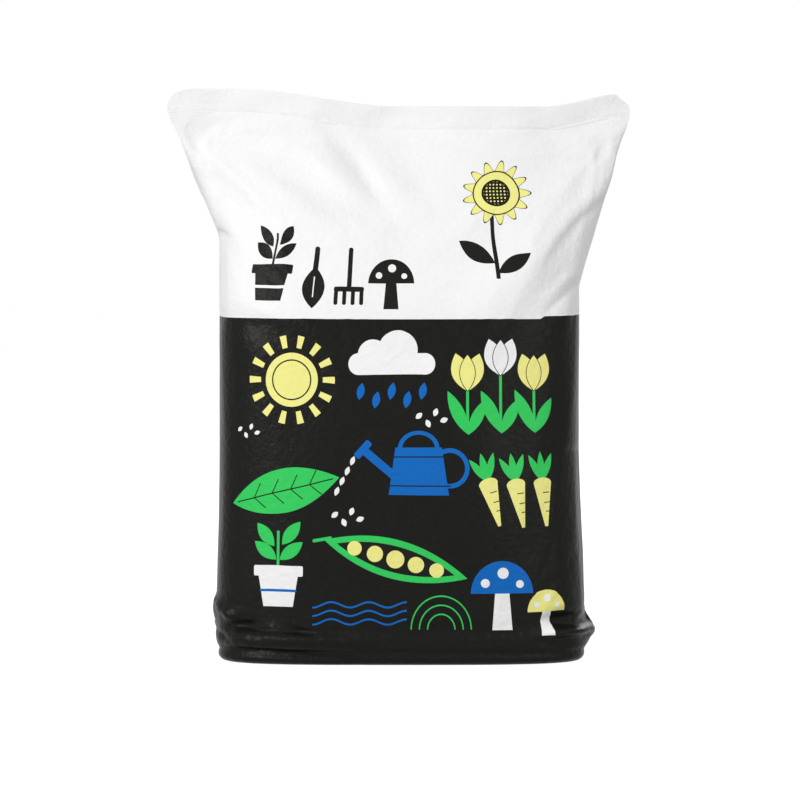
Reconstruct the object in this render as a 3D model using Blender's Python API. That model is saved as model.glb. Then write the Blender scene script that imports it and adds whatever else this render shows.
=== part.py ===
"""A filled compost bag that stands on its base.

The bag is one tube of printed plastic film. It is sealed flat across the top, folded shut
underneath and packed with compost, so the whole pack is one closed solid. The packed body is
a soft block. Above it the slack film closes to the flat seal, which is as wide as the tube
laid flat, so its two ends stand out as ears.

Frame: metres, +Z up, the origin on the floor under the middle of the bag. The printed front
faces -Y, and +X is to the right of someone who looks at the front.
"""

import math

import bmesh
import bpy
from mathutils import Vector
from mathutils.geometry import interpolate_bezier, intersect_point_line

# Driving dimensions of the filled bag.
BAG_HEIGHT = 0.612  # floor to the tip of the taller ear
SEAL_WIDTH = 0.500  # the tube laid flat, which shows along the top seal
BODY_WIDTH = 0.384  # the packed block, from side to side
BODY_DEPTH = 0.166  # the packed block, from front to back
SEAL_STRIP = 0.025  # height of the welded strip above the seal line
SEAL_THICKNESS = 0.0016  # the two films of the strip
PRINT_HEIGHT = 0.370  # floor to the edge of the dark print

# Where the packed block ends and the slack head begins.
LEFT_WAIST = 0.450  # height at which the left ear's edge leaves the body
RIGHT_WAIST = 0.392  # the same for the right ear, which hangs lower
SHOULDER = 0.352  # height at which the front and back begin to lean in
HEAD_FULLNESS = 0.50  # share of the lean that is a round bulge and not a slack S curve

# How the compost settles towards the base.
SETTLED_HEIGHT = 0.235  # the bag is wider below this height
LEFT_SPREAD = 0.004  # how much wider the left side gets
RIGHT_SPREAD = 0.009
BELLY = 0.005  # how far the front and the back swell at the middle of that height

# How square the horizontal cuts are, as superellipse exponents.
BODY_SQUARENESS = 3.6
HEAD_SQUARENESS = 1.75

# The base.
BASE_RADIUS = 0.013  # rounding between the walls and the flat base
BASE_ROLL = 0.0050  # how far the film rolls out just above the base
BASE_ROLL_HEIGHT = 0.028  # height of that roll's crest
BASE_ROLL_SPAN = 0.019  # the roll fades out this far above and below its crest
BASE_CREASE = 0.0020  # depth of the crease under the roll
BASE_CREASE_HEIGHT = 0.011
CORNER_TUCK = 0.0095  # how far the folded corner stands out of the right side
LEFT_CORNER_TUCK = 0.0055

# The top edge.
SEAL_DIP = 0.019  # how far the top edge sags below the taller ear
DIP_START = 0.88  # on the left the sag starts at this share of the half width
DIP_END = 0.62  # on the right it lasts to this share
RIGHT_EAR_DROP = 0.005  # the right ear stands this much lower than the left one
EAR_RADIUS = 0.022  # rounding of the left ear's tip
EAR_CUT = 0.015  # the right ear's tip is folded over by this much
EAR_LEAN = 0.012  # the left ear leans forwards and the right one backwards
SEAL_WAVE = 0.0040  # the strip waves forwards and backwards by this much
SEAL_WAVES = 2.5  # waves along the strip

# Mesh density.
QUARTER_COLUMNS = 22  # columns of faces from the middle of a side to its edge
ROLL_ROWS = 4  # rows round the base's rounding
FOOT_ROWS = 9  # rows where the pleats of the base are
BODY_ROWS = 10
HEAD_ROWS = 25
STRIP_ROWS = 4
FOOT_HEIGHT = 0.075  # the closely spaced rows reach up to here
CUT_SAMPLES = 90  # points that a quarter outline is measured with

FRONT, BACK = -1, 1
WHITE_FILM, BLACK_PRINT, GREEN_PRINT, YELLOW_PRINT, BLUE_PRINT = range(5)

COLOURS = {
    "white_film": (0.90, 0.90, 0.89),
    "black_print": (0.030, 0.030, 0.028),
    "green_print": (0.030, 0.530, 0.100),
    "yellow_print": (0.820, 0.790, 0.320),
    "blue_print": (0.010, 0.120, 0.560),
}

COLUMNS = 4 * QUARTER_COLUMNS
SEAL_LINE = BAG_HEIGHT - SEAL_STRIP
HALF_BODY = BODY_WIDTH / 2
HALF_SEAL = SEAL_WIDTH / 2
EAR_EDGE = HALF_SEAL - 0.006  # where a fold that comes from an ear begins


class Fold:
    """A soft ridge or valley that runs over one side of the bag along a curve.

    start, middle and end are (x, z) as seen from the front, and the curve bends towards
    middle. A ridge has a rise above zero and a valley one below zero.
    """

    def __init__(self, side, start, middle, end, width, rise):
        self.side = side
        self.width = width
        self.rise = rise
        points = [Vector((x, 0, z)) for x, z in (start, middle, end)]
        first_handle = points[0].lerp(points[1], 2 / 3)
        second_handle = points[2].lerp(points[1], 2 / 3)
        self.line = interpolate_bezier(points[0], first_handle, second_handle, points[2], 13)

    def height_at(self, x, z, side):
        """How far the film stands out at (x, z) on that side."""
        if self.side != side:
            return 0.0
        place = Vector((x, 0, z))
        if min((place - point).length for point in self.line) > 2 * self.width:
            return 0.0
        nearest, along = self.width, 0.0
        for i, (here, after) in enumerate(zip(self.line, self.line[1:])):
            share = min(1.0, max(0.0, intersect_point_line(place, here, after)[1]))
            distance = (place - here.lerp(after, share)).length
            if distance < nearest:
                nearest, along = distance, (i + share) / (len(self.line) - 1)
        if nearest >= self.width:
            return 0.0
        across = (1 - nearest / self.width) ** 1.5 * (1 + 1.5 * nearest / self.width)
        return self.rise * across * math.sin(math.pi * (0.14 + 0.78 * along)) ** 0.7


def eased(share):
    """A share from 0 to 1 that leaves and arrives level."""
    share = min(1.0, max(0.0, share))
    return share * share * (3 - 2 * share)


def bell(distance, span):
    """1 at no distance, falling smoothly to 0 at the span."""
    return 1 - eased(abs(distance) / span)


def head_share(height):
    """0 at the shoulder and below, 1 at the seal line and above."""
    return min(1.0, max(0.0, (height - SHOULDER) / (SEAL_LINE - SHOULDER)))


def half_width(height, side):
    """Reach of the outline to the left (side -1) or to the right (side 1)."""
    waist, spread = (LEFT_WAIST, LEFT_SPREAD) if side < 0 else (RIGHT_WAIST, RIGHT_SPREAD)
    flare = min(1.0, max(0.0, (height - waist) / (SEAL_LINE - waist)))
    soft_flare = flare - 0.06 * math.sin(2 * math.pi * flare) * (1 - flare)
    reach = HALF_BODY + (HALF_SEAL - HALF_BODY) * soft_flare
    reach += spread * eased((SETTLED_HEIGHT - height) / SETTLED_HEIGHT)
    over = height - SEAL_LINE
    if over <= 0:
        return reach
    if side < 0:
        into = max(0.0, over - (SEAL_STRIP - EAR_RADIUS))
        return reach - EAR_RADIUS + math.sqrt(max(0.0, EAR_RADIUS**2 - into**2) + 1e-7)
    return reach - EAR_CUT * eased((over - (SEAL_STRIP - EAR_CUT)) / EAR_CUT)


def half_depth(height):
    """Reach of the outline to the front and to the back."""
    left = 1 - head_share(height)
    lean = HEAD_FULLNESS * math.sin(math.pi / 2 * left) + (1 - HEAD_FULLNESS) * eased(left)
    belly = BELLY * bell(height - SETTLED_HEIGHT / 2, SETTLED_HEIGHT)
    return SEAL_THICKNESS / 2 + (BODY_DEPTH - SEAL_THICKNESS) / 2 * lean + belly


def squareness(height):
    """The superellipse exponent of the cut at this height."""
    return BODY_SQUARENESS + (HEAD_SQUARENESS - BODY_SQUARENESS) * eased(head_share(height))


def quarter_cut(reach, depth, power):
    """Evenly spaced (x, y) from the middle of a side to the bag's edge, as for one cut."""
    dense = []
    for i in range(CUT_SAMPLES + 1):
        angle = math.pi / 2 * i / CUT_SAMPLES
        across = reach * math.sin(angle) ** (2 / power)
        out = depth * math.cos(angle) ** (2 / power)
        dense.append(Vector((across, out)))
    lengths = [0.0]
    for before, after in zip(dense, dense[1:]):
        lengths.append(lengths[-1] + (after - before).length)
    cut, at = [], 0
    for i in range(QUARTER_COLUMNS + 1):
        wanted = lengths[-1] * i / QUARTER_COLUMNS
        while at < CUT_SAMPLES - 1 and lengths[at + 1] < wanted:
            at += 1
        share = (wanted - lengths[at]) / (lengths[at + 1] - lengths[at])
        cut.append(dense[at].lerp(dense[at + 1], share))
    return cut


def outline(height):
    """The closed cut at this height: (x, y) points from the front's middle, to the right."""
    right = quarter_cut(half_width(height, 1), half_depth(height), squareness(height))
    left = quarter_cut(half_width(height, -1), half_depth(height), squareness(height))
    front_right = [(p.x, -p.y) for p in right[:-1]]
    back_right = [(p.x, p.y) for p in reversed(right[1:])]
    back_left = [(-p.x, p.y) for p in left[:-1]]
    front_left = [(-p.x, -p.y) for p in reversed(left[1:])]
    return front_right + back_right + back_left + front_left


def top_dip(x):
    """How far the top edge hangs below the left ear at x."""
    left_end, right_end = -DIP_START * HALF_SEAL, DIP_END * HALF_SEAL
    if x < 0:
        return SEAL_DIP * eased((x - left_end) / -left_end)
    if x < right_end:
        return SEAL_DIP
    rise = eased((x - right_end) / (HALF_SEAL * 0.97 - right_end))
    return SEAL_DIP + (RIGHT_EAR_DROP - SEAL_DIP) * rise


def folds():
    """The soft folds of the slack head and the pleats of the base."""
    head_top = SEAL_LINE - 0.006
    made = []
    for side, mirror in ((FRONT, 1), (BACK, -1)):
        def fold(start, middle, end, width, rise, side=side, mirror=mirror):
            points = [(mirror * x, z) for x, z in (start, middle, end)]
            made.append(Fold(side, *points, width, rise))

        # Ridges and valleys that fan out from the left ear and the left half of the seal.
        fold((-EAR_EDGE, head_top), (-0.160, 0.535), (-0.030, 0.440), 0.040, 0.0110)
        fold((-0.165, head_top), (-0.125, 0.545), (-0.040, 0.478), 0.028, -0.0065)
        fold((-0.105, head_top), (-0.088, 0.540), (-0.030, 0.474), 0.030, 0.0075)
        fold((-0.066, head_top), (-0.050, 0.545), (-0.015, 0.500), 0.020, -0.0040)
        fold((-0.030, head_top - 0.008), (-0.018, 0.535), (0.016, 0.490), 0.026, 0.0055)
        fold((-0.186, 0.492), (-0.176, 0.466), (-0.148, 0.428), 0.022, 0.0040)
        # Ridges that hang from the right ear to the front corner of the packed block.
        fold((EAR_EDGE, head_top), (0.182, 0.498), (0.096, 0.380), 0.042, 0.0120)
        fold((0.214, head_top), (0.165, 0.528), (0.092, 0.486), 0.028, 0.0055)
        fold((0.196, head_top - 0.010), (0.140, 0.520), (0.084, 0.508), 0.022, -0.0035)
        fold((0.214, 0.490), (0.178, 0.468), (0.158, 0.420), 0.020, -0.0060)
        fold((0.190, 0.402), (0.176, 0.398), (0.154, 0.366), 0.018, -0.0050)
        # The body's left shoulder, and a slight crease in its right side.
        fold((-0.184, 0.362), (-0.148, 0.366), (-0.112, 0.338), 0.018, -0.0035)
        fold((0.196, 0.222), (0.178, 0.220), (0.158, 0.222), 0.012, -0.0018)
        # The pleats where the film is folded under at the base's two front corners.
        fold((-0.200, 0.058), (-0.186, 0.052), (-0.170, 0.042), 0.015, 0.0055)
        fold((-0.186, 0.036), (-0.166, 0.042), (-0.146, 0.036), 0.014, -0.0065)
        fold((-0.170, 0.030), (-0.110, 0.029), (-0.056, 0.030), 0.014, 0.0030)
        fold((-0.120, 0.040), (-0.090, 0.036), (-0.060, 0.039), 0.010, -0.0028)
        fold((0.206, 0.034), (0.190, 0.034), (0.158, 0.034), 0.012, 0.0060)
        fold((0.200, 0.045), (0.180, 0.050), (0.150, 0.047), 0.013, -0.0055)
        fold((0.194, 0.020), (0.176, 0.020), (0.150, 0.022), 0.011, -0.0045)
    return made


def corner_tuck(x, y, z):
    """How far the folded corners of the base stand out of the two narrow sides."""
    height, reach = (0.050, LEFT_CORNER_TUCK) if x < 0 else (0.032, CORNER_TUCK)
    return reach * bell(z - height, 0.022) * bell(y, 0.050) * eased(abs(x) / HALF_BODY * 2 - 1)


def base_roll(x, z):
    """How far the film rolls out, and creases in, just above the base."""
    towards_corner = bell(x + 0.110, 0.120) + bell(x - HALF_BODY, 0.090)
    strength = 0.35 + 0.65 * min(1.0, towards_corner)
    roll = BASE_ROLL * strength * bell(z - BASE_ROLL_HEIGHT, BASE_ROLL_SPAN)
    return roll - BASE_CREASE * bell(z - BASE_CREASE_HEIGHT, 0.006)


def level_heights():
    """Heights of the rows of points from the base's rounding to the top edge."""
    heights = []
    for i in range(ROLL_ROWS):
        heights.append(BASE_RADIUS * (1 - math.cos(math.pi / 2 * i / ROLL_ROWS)))

    def rows(low, high, count):
        heights.extend(low + (high - low) * i / count for i in range(count))

    rows(BASE_RADIUS, FOOT_HEIGHT, FOOT_ROWS)
    rows(FOOT_HEIGHT, PRINT_HEIGHT, BODY_ROWS)
    rows(PRINT_HEIGHT, SEAL_LINE, HEAD_ROWS)
    rows(SEAL_LINE, BAG_HEIGHT, STRIP_ROWS)
    return heights + [BAG_HEIGHT]


def film_point(x, y, height, all_folds):
    """Where a point of a cut ends up once the film is rolled, folded and hung."""
    outward = Vector((x / HALF_BODY**2, y / (BODY_DEPTH / 2) ** 2, 0)).normalized()
    side = FRONT if y < 0 else BACK
    depth = half_depth(height)
    if height < BASE_RADIUS:
        inset = BASE_RADIUS - math.sqrt(BASE_RADIUS**2 - (BASE_RADIUS - height) ** 2)
    else:
        inset = 0.0
    room = eased(3.0 * depth / (BODY_DEPTH / 2)) * eased(3.0 * abs(y) / depth)
    relief = room * sum(fold.height_at(x, height, side) for fold in all_folds)
    push = max(relief, -0.5 * abs(y)) + base_roll(x, height) + corner_tuck(x, y, height)
    point = Vector((x, y, height)) + outward * (push - inset)
    rise = eased((height - SHOULDER) / (SEAL_LINE - SHOULDER))
    point.y += SEAL_WAVE * rise * math.sin(2 * math.pi * SEAL_WAVES * (x / SEAL_WIDTH + 0.5))
    point.y += EAR_LEAN * rise * (x / HALF_SEAL) * abs(x / HALF_SEAL) ** 2
    point.z -= rise * top_dip(x)
    return point


def film_tube():
    """The film as a sheet of rows and columns, shaped round the bag and joined up behind."""
    all_folds = folds()
    heights = level_heights()
    cuts = [outline(height) for height in heights]
    tube = bmesh.new()
    row_count = len(heights) - 1
    bmesh.ops.create_grid(tube, x_segments=COLUMNS, y_segments=row_count, size=0.5)
    for vert in tube.verts:
        column = round((vert.co.x + 0.5) * COLUMNS) % COLUMNS
        row = round((vert.co.y + 0.5) * row_count)
        x, y = cuts[row][column]
        vert.co = film_point(x, y, heights[row], all_folds)
    bmesh.ops.remove_doubles(tube, verts=tube.verts, dist=1e-6)
    return tube


def close_ends(tube):
    """Closes the base with one flat face and the top edge with narrow ones."""
    middle = BAG_HEIGHT / 2
    for below in (True, False):
        rim = [e for e in tube.edges if e.is_boundary and (e.verts[0].co.z < middle) == below]
        cap = bmesh.ops.holes_fill(tube, edges=rim, sides=0)["faces"]
        if not below:
            bmesh.ops.triangulate(tube, faces=cap, ngon_method="BEAUTY")


def round_shape(x, z, width, height, turn=0.0, corners=12):
    """The corners of a disc or an ellipse."""
    made = []
    for i in range(corners):
        angle = 2 * math.pi * i / corners
        made.append((width / 2 * math.cos(angle), height / 2 * math.sin(angle)))
    return placed(made, x, z, turn)


def leaf_shape(x, z, length, width, turn=0.0):
    """The corners of a leaf that is pointed at both ends."""
    half, waist = length / 2, width / 2
    upper = [(half * s, waist * (1 - s * s)) for s in (1.0, 0.66, 0.33, 0.0, -0.33, -0.66)]
    lower = [(-across, -out) for across, out in upper]
    return placed(upper + lower, x, z, turn)


def tapered_shape(x, z, top, bottom, height, turn=0.0):
    """The corners of a block that is as wide as top above and as bottom below."""
    corners = [(top, height), (-top, height), (-bottom, -height), (bottom, -height)]
    return placed([(across / 2, up / 2) for across, up in corners], x, z, turn)


def placed(corners, x, z, turn):
    """Corners turned by an angle in degrees and moved to (x, z), on the front's plane."""
    cos, sin = math.cos(math.radians(turn)), math.sin(math.radians(turn))
    return [Vector((x + a * cos - b * sin, 0, z + a * sin + b * cos)) for a, b in corners]


def printed_shapes():
    """The plain shapes printed on the front, as (colour, corners)."""
    shapes = [
        (YELLOW_PRINT, round_shape(-0.118, 0.300, 0.052, 0.052)),
        (WHITE_FILM, round_shape(-0.012, 0.322, 0.084, 0.034)),
        (GREEN_PRINT, leaf_shape(-0.118, 0.194, 0.100, 0.034, 18)),
        (BLUE_PRINT, tapered_shape(0.004, 0.205, 0.046, 0.060, 0.046)),
        (GREEN_PRINT, leaf_shape(-0.026, 0.098, 0.128, 0.032, -16)),
        (BLUE_PRINT, round_shape(0.122, 0.090, 0.058, 0.034)),
        (WHITE_FILM, tapered_shape(0.122, 0.062, 0.016, 0.022, 0.022)),
        (WHITE_FILM, tapered_shape(-0.128, 0.096, 0.046, 0.032, 0.040)),
        (BLACK_PRINT, tapered_shape(-0.142, 0.408, 0.036, 0.026, 0.032)),
        (BLACK_PRINT, leaf_shape(-0.086, 0.412, 0.046, 0.020, 52)),
        (BLACK_PRINT, round_shape(-0.034, 0.414, 0.036, 0.036)),
        (YELLOW_PRINT, round_shape(0.110, 0.498, 0.056, 0.056)),
    ]
    for x, z in ((0.076, 0.310), (0.112, 0.322), (0.148, 0.308)):
        shapes.append((YELLOW_PRINT, tapered_shape(x, z, 0.022, 0.012, 0.026)))
    for x, z, turn in ((0.086, 0.168, 20), (0.118, 0.168, 14), (0.150, 0.170, 8)):
        shapes.append((YELLOW_PRINT, tapered_shape(x, z, 0.018, 0.004, 0.046, turn)))
    return shapes


def print_shape(tube, colour, corners):
    """Cuts a shape out of the front film along its edges and gives it a colour."""
    middle = sum(corners, Vector()) / len(corners)
    reach = max((corner - middle).length for corner in corners) + 0.020
    inside = []
    for face in tube.faces:
        centre = face.calc_center_median()
        flat = Vector((centre.x, 0, centre.z))
        if centre.y < 0 and face.normal.y < -0.3 and (flat - middle).length < reach:
            inside.append(face)
    for here, after in zip(corners, corners[1:] + corners[:1]):
        outwards = Vector((after.z - here.z, 0, here.x - after.x)).normalized()
        edges = {edge for face in inside for edge in face.edges}
        verts = {vert for face in inside for vert in face.verts}
        cut = bmesh.ops.bisect_plane(
            tube, geom=[*inside, *edges, *verts], plane_co=here, plane_no=outwards, dist=4e-4)
        pieces = [item for item in cut["geom"] if isinstance(item, bmesh.types.BMFace)]
        inside = [f for f in pieces if (f.calc_center_median() - here).dot(outwards) < 0]
    for face in inside:
        face.material_index = colour


def film_material(name, colour):
    """A plain material of the film or of the ink on it."""
    material = bpy.data.materials.new(name)
    material.use_nodes = True
    shader = material.node_tree.nodes["Principled BSDF"]
    shader.inputs["Base Color"].default_value = (*colour, 1)
    shader.inputs["Roughness"].default_value = 0.45
    shader.inputs["Metallic"].default_value = 0.0
    return material


def centre_on_origin(tube):
    """Moves the solid so that the origin is under the middle of its box, on the floor."""
    lows, highs = [], []
    for axis in range(3):
        places = [vert.co[axis] for vert in tube.verts]
        lows.append(min(places))
        highs.append(max(places))
    shift = Vector((-(lows[0] + highs[0]) / 2, -(lows[1] + highs[1]) / 2, -lows[2]))
    bmesh.ops.translate(tube, verts=tube.verts, vec=shift)


def build_bag():
    """The bag's closed solid with its dark body, its white head and its printed shapes."""
    shell = film_tube()
    close_ends(shell)
    bmesh.ops.recalc_face_normals(shell, faces=shell.faces)
    shell.normal_update()
    for face in shell.faces:
        below = max(vert.co.z for vert in face.verts) < PRINT_HEIGHT + 1e-4
        face.material_index = BLACK_PRINT if below else WHITE_FILM
    for colour, corners in printed_shapes():
        print_shape(shell, colour, corners)
    centre_on_origin(shell)

    mesh = bpy.data.meshes.new("compost_bag")
    shell.to_mesh(mesh)
    shell.free()
    for name, colour in COLOURS.items():
        mesh.materials.append(film_material(name, colour))
    mesh.shade_smooth()
    mesh.set_sharp_from_angle(angle=math.radians(60))
    bag = bpy.data.objects.new("compost_bag", mesh)
    bpy.context.scene.collection.objects.link(bag)
    return bag


for startup_object in list(bpy.data.objects):
    bpy.data.objects.remove(startup_object)
build_bag()
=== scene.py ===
"""The look of a filled compost bag: its printed film, welded seal, folds and pleats.

The film is one closed tube. It is laid out as a flat sheet with its own coordinates, across
the film and up it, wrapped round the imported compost, and then left to settle as cloth. The
print is drawn on the film's own coordinates, so it follows every fold.

Frame: metres, +Z up, the printed front faces -Y.
"""

from __future__ import annotations

import logging
import math
from dataclasses import dataclass, field, replace
from enum import Enum

import bmesh
import bpy
import numpy as np
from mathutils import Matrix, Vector, noise
from mathutils.geometry import interpolate_bezier

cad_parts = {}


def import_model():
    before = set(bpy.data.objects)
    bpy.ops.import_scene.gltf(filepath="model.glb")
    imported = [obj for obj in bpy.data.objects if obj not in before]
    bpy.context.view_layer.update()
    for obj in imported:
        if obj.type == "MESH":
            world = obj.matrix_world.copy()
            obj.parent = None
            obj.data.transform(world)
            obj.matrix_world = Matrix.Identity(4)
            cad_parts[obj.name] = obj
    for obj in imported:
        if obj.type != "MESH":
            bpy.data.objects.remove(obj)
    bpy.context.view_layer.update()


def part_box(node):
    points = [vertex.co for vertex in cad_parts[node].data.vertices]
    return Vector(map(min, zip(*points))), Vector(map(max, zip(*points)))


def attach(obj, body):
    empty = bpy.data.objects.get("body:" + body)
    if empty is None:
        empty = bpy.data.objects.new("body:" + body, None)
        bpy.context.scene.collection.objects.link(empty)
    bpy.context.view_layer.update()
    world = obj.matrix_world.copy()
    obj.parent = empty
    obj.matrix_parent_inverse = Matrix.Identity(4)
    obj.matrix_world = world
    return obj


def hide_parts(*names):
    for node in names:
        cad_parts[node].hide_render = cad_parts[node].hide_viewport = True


LOG = logging.getLogger("compost_bag")

BAG_NODE = "compost_bag"

Socket = bpy.types.NodeSocket
Pair = tuple[float, float]
Triple = tuple[float, float, float]
Feeds = dict[str | int, Socket | float | tuple]


def eased(share: np.ndarray | float) -> np.ndarray | float:
    """A share from 0 to 1 that leaves and arrives level."""
    share = np.clip(share, 0.0, 1.0)
    return share * share * (3 - 2 * share)


def bell(distance: np.ndarray | float, span: float) -> np.ndarray | float:
    """1 at no distance, falling smoothly to 0 at the span."""
    return 1 - eased(np.abs(distance) / span)


def read(data: bpy.types.bpy_prop_collection, name: str, parts: int = 1) -> np.ndarray:
    """One property of every point, corner or face, with this many parts each.

    Args:
        data: The points, corners or faces.
        name: The property.
        parts: Numbers in each.

    Returns:
        An array with a row for each, or flat for one part.
    """
    flat = np.zeros(len(data) * parts, np.float32)
    data.foreach_get(name, flat)
    return flat.reshape(-1, parts) if parts > 1 else flat


def noise_at(points: np.ndarray, scales: Triple, shift: float = 0.0) -> np.ndarray:
    """Smooth noise at points, finer where the scales are larger.

    Args:
        points: Rows of x, y, z.
        scales: How fine it is along each axis.
        shift: Added to z.

    Returns:
        A value from about -1 to 1 for each point.
    """
    along, back, up = scales
    return np.array([
        noise.noise(Vector((x * along, y * back, z * up + shift))) for x, y, z in points])


def in_scene(name: str, data: bpy.types.ID) -> bpy.types.Object:
    """A new object in the scene, with this mesh, light or camera.

    Args:
        name: Its name.
        data: A mesh, a light or a camera.

    Returns:
        The object.
    """
    made = bpy.data.objects.new(name, data)
    bpy.context.scene.collection.objects.link(made)
    return made


def mesh_object(name: str, shape: bmesh.types.BMesh) -> bpy.types.Object:
    """A bmesh made an object in the scene.

    Args:
        name: Its name, also the mesh's.
        shape: The bmesh, which is freed.

    Returns:
        The object.
    """
    mesh = bpy.data.meshes.new(name)
    shape.to_mesh(mesh)
    shape.free()
    return in_scene(name, mesh)


def aim(made: bpy.types.Object, place: Vector, way: Vector) -> None:
    """Puts a lamp or a camera at a place and turns it to look along a way.

    Args:
        made: The lamp or camera.
        place: Where it goes.
        way: Where it looks.
    """
    made.location = place
    made.rotation_mode = "QUATERNION"
    made.rotation_quaternion = way.to_track_quat("-Z", "Y")


FOLD_STEPS = 13
FOLD_START, FOLD_RUN, FOLD_FADE = 0.14, 0.78, 0.7


@dataclass(frozen=True)
class Fold:
    """A ridge or valley of the film along a curve, as seen from the front.

    The places are (x, z), the curve bends towards middle, and a valley's rise is below zero.
    A crisp fold has a sharp crest and a soft one a rounded crest.
    """

    start: Pair
    middle: Pair
    end: Pair
    width: float
    rise: float
    crisp: float = 0.0

    def line(self) -> np.ndarray:
        """Points along the fold's curve.

        Returns:
            Rows of x, z from one end to the other.
        """
        ends = [Vector((x, z, 0)) for x, z in (self.start, self.middle, self.end)]
        handles = ends[0].lerp(ends[1], 2 / 3), ends[2].lerp(ends[1], 2 / 3)
        points = interpolate_bezier(ends[0], *handles, ends[2], FOLD_STEPS)
        return np.array([(point.x, point.y) for point in points])

    def relief(self, x: np.ndarray, z: np.ndarray) -> np.ndarray:
        """How far the film stands out.

        Args:
            x: Places across the bag.
            z: Heights of the same points.

        Returns:
            The rise at each point, in metres.
        """
        line = self.line()
        nearest = np.full(x.shape, self.width)
        along = np.zeros(x.shape)
        steps = len(line) - 1
        for i in range(steps):
            run = line[i + 1] - line[i]
            share = ((x - line[i, 0]) * run[0] + (z - line[i, 1]) * run[1]) / (run @ run)
            share = np.clip(share, 0.0, 1.0)
            away = np.hypot(x - line[i, 0] - share * run[0], z - line[i, 1] - share * run[1])
            closer = away < nearest
            nearest = np.where(closer, away, nearest)
            along = np.where(closer, (i + share) / steps, along)
        t = nearest / self.width
        soft = (1 - t) ** 1.5 * (1 + 1.5 * t)
        sharp = (1 - t) ** 2
        across = soft * (1 - self.crisp) + sharp * self.crisp
        fade = np.sin(math.pi * (FOLD_START + FOLD_RUN * along)) ** FOLD_FADE
        return self.rise * across * fade


HEAD_TOP = 0.581
EAR_EDGE = 0.244

HEAD_FOLDS = (
    # Ridges and valleys that fan out from the left ear and the left half of the seal.
    Fold((-EAR_EDGE, HEAD_TOP), (-0.160, 0.535), (-0.030, 0.440), 0.040, 0.0110),
    Fold((-0.165, HEAD_TOP), (-0.125, 0.545), (-0.040, 0.478), 0.028, -0.0065),
    Fold((-0.105, HEAD_TOP), (-0.088, 0.540), (-0.030, 0.474), 0.030, 0.0075),
    Fold((-0.066, HEAD_TOP), (-0.050, 0.545), (-0.015, 0.500), 0.020, -0.0040),
    Fold((-0.030, HEAD_TOP - 0.008), (-0.018, 0.535), (0.016, 0.490), 0.026, 0.0055),
    Fold((-0.186, 0.492), (-0.176, 0.466), (-0.148, 0.428), 0.022, 0.0040),
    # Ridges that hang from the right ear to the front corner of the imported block.
    Fold((EAR_EDGE, HEAD_TOP), (0.182, 0.498), (0.096, 0.380), 0.042, 0.0120),
    Fold((0.214, HEAD_TOP), (0.165, 0.528), (0.092, 0.486), 0.028, 0.0055),
    Fold((0.196, HEAD_TOP - 0.010), (0.140, 0.520), (0.084, 0.508), 0.022, -0.0035),
    Fold((0.214, 0.490), (0.178, 0.468), (0.158, 0.420), 0.020, -0.0036, 0.7),
    Fold((0.190, 0.402), (0.176, 0.398), (0.154, 0.366), 0.018, -0.0024, 0.7),
    # The body's left shoulder, and a slight crease in its right side.
    Fold((-0.184, 0.362), (-0.148, 0.366), (-0.112, 0.338), 0.018, -0.0035),
    Fold((0.196, 0.222), (0.178, 0.220), (0.158, 0.222), 0.012, -0.0018, 0.5),
)

BASE_PLEATS = (
    Fold((-0.200, 0.058), (-0.186, 0.052), (-0.170, 0.042), 0.015, 0.0055, 0.5),
    Fold((-0.186, 0.036), (-0.166, 0.042), (-0.146, 0.036), 0.014, -0.0065, 0.3),
    Fold((-0.170, 0.030), (-0.110, 0.029), (-0.056, 0.030), 0.014, 0.0030),
    Fold((-0.120, 0.040), (-0.090, 0.036), (-0.060, 0.039), 0.010, -0.0028, 0.6),
    Fold((0.206, 0.034), (0.190, 0.034), (0.158, 0.034), 0.012, 0.0060, 0.6),
    Fold((0.200, 0.045), (0.180, 0.050), (0.150, 0.047), 0.013, -0.0055, 0.3),
    Fold((0.194, 0.020), (0.176, 0.020), (0.150, 0.022), 0.011, -0.0045, 0.4),
)

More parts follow.
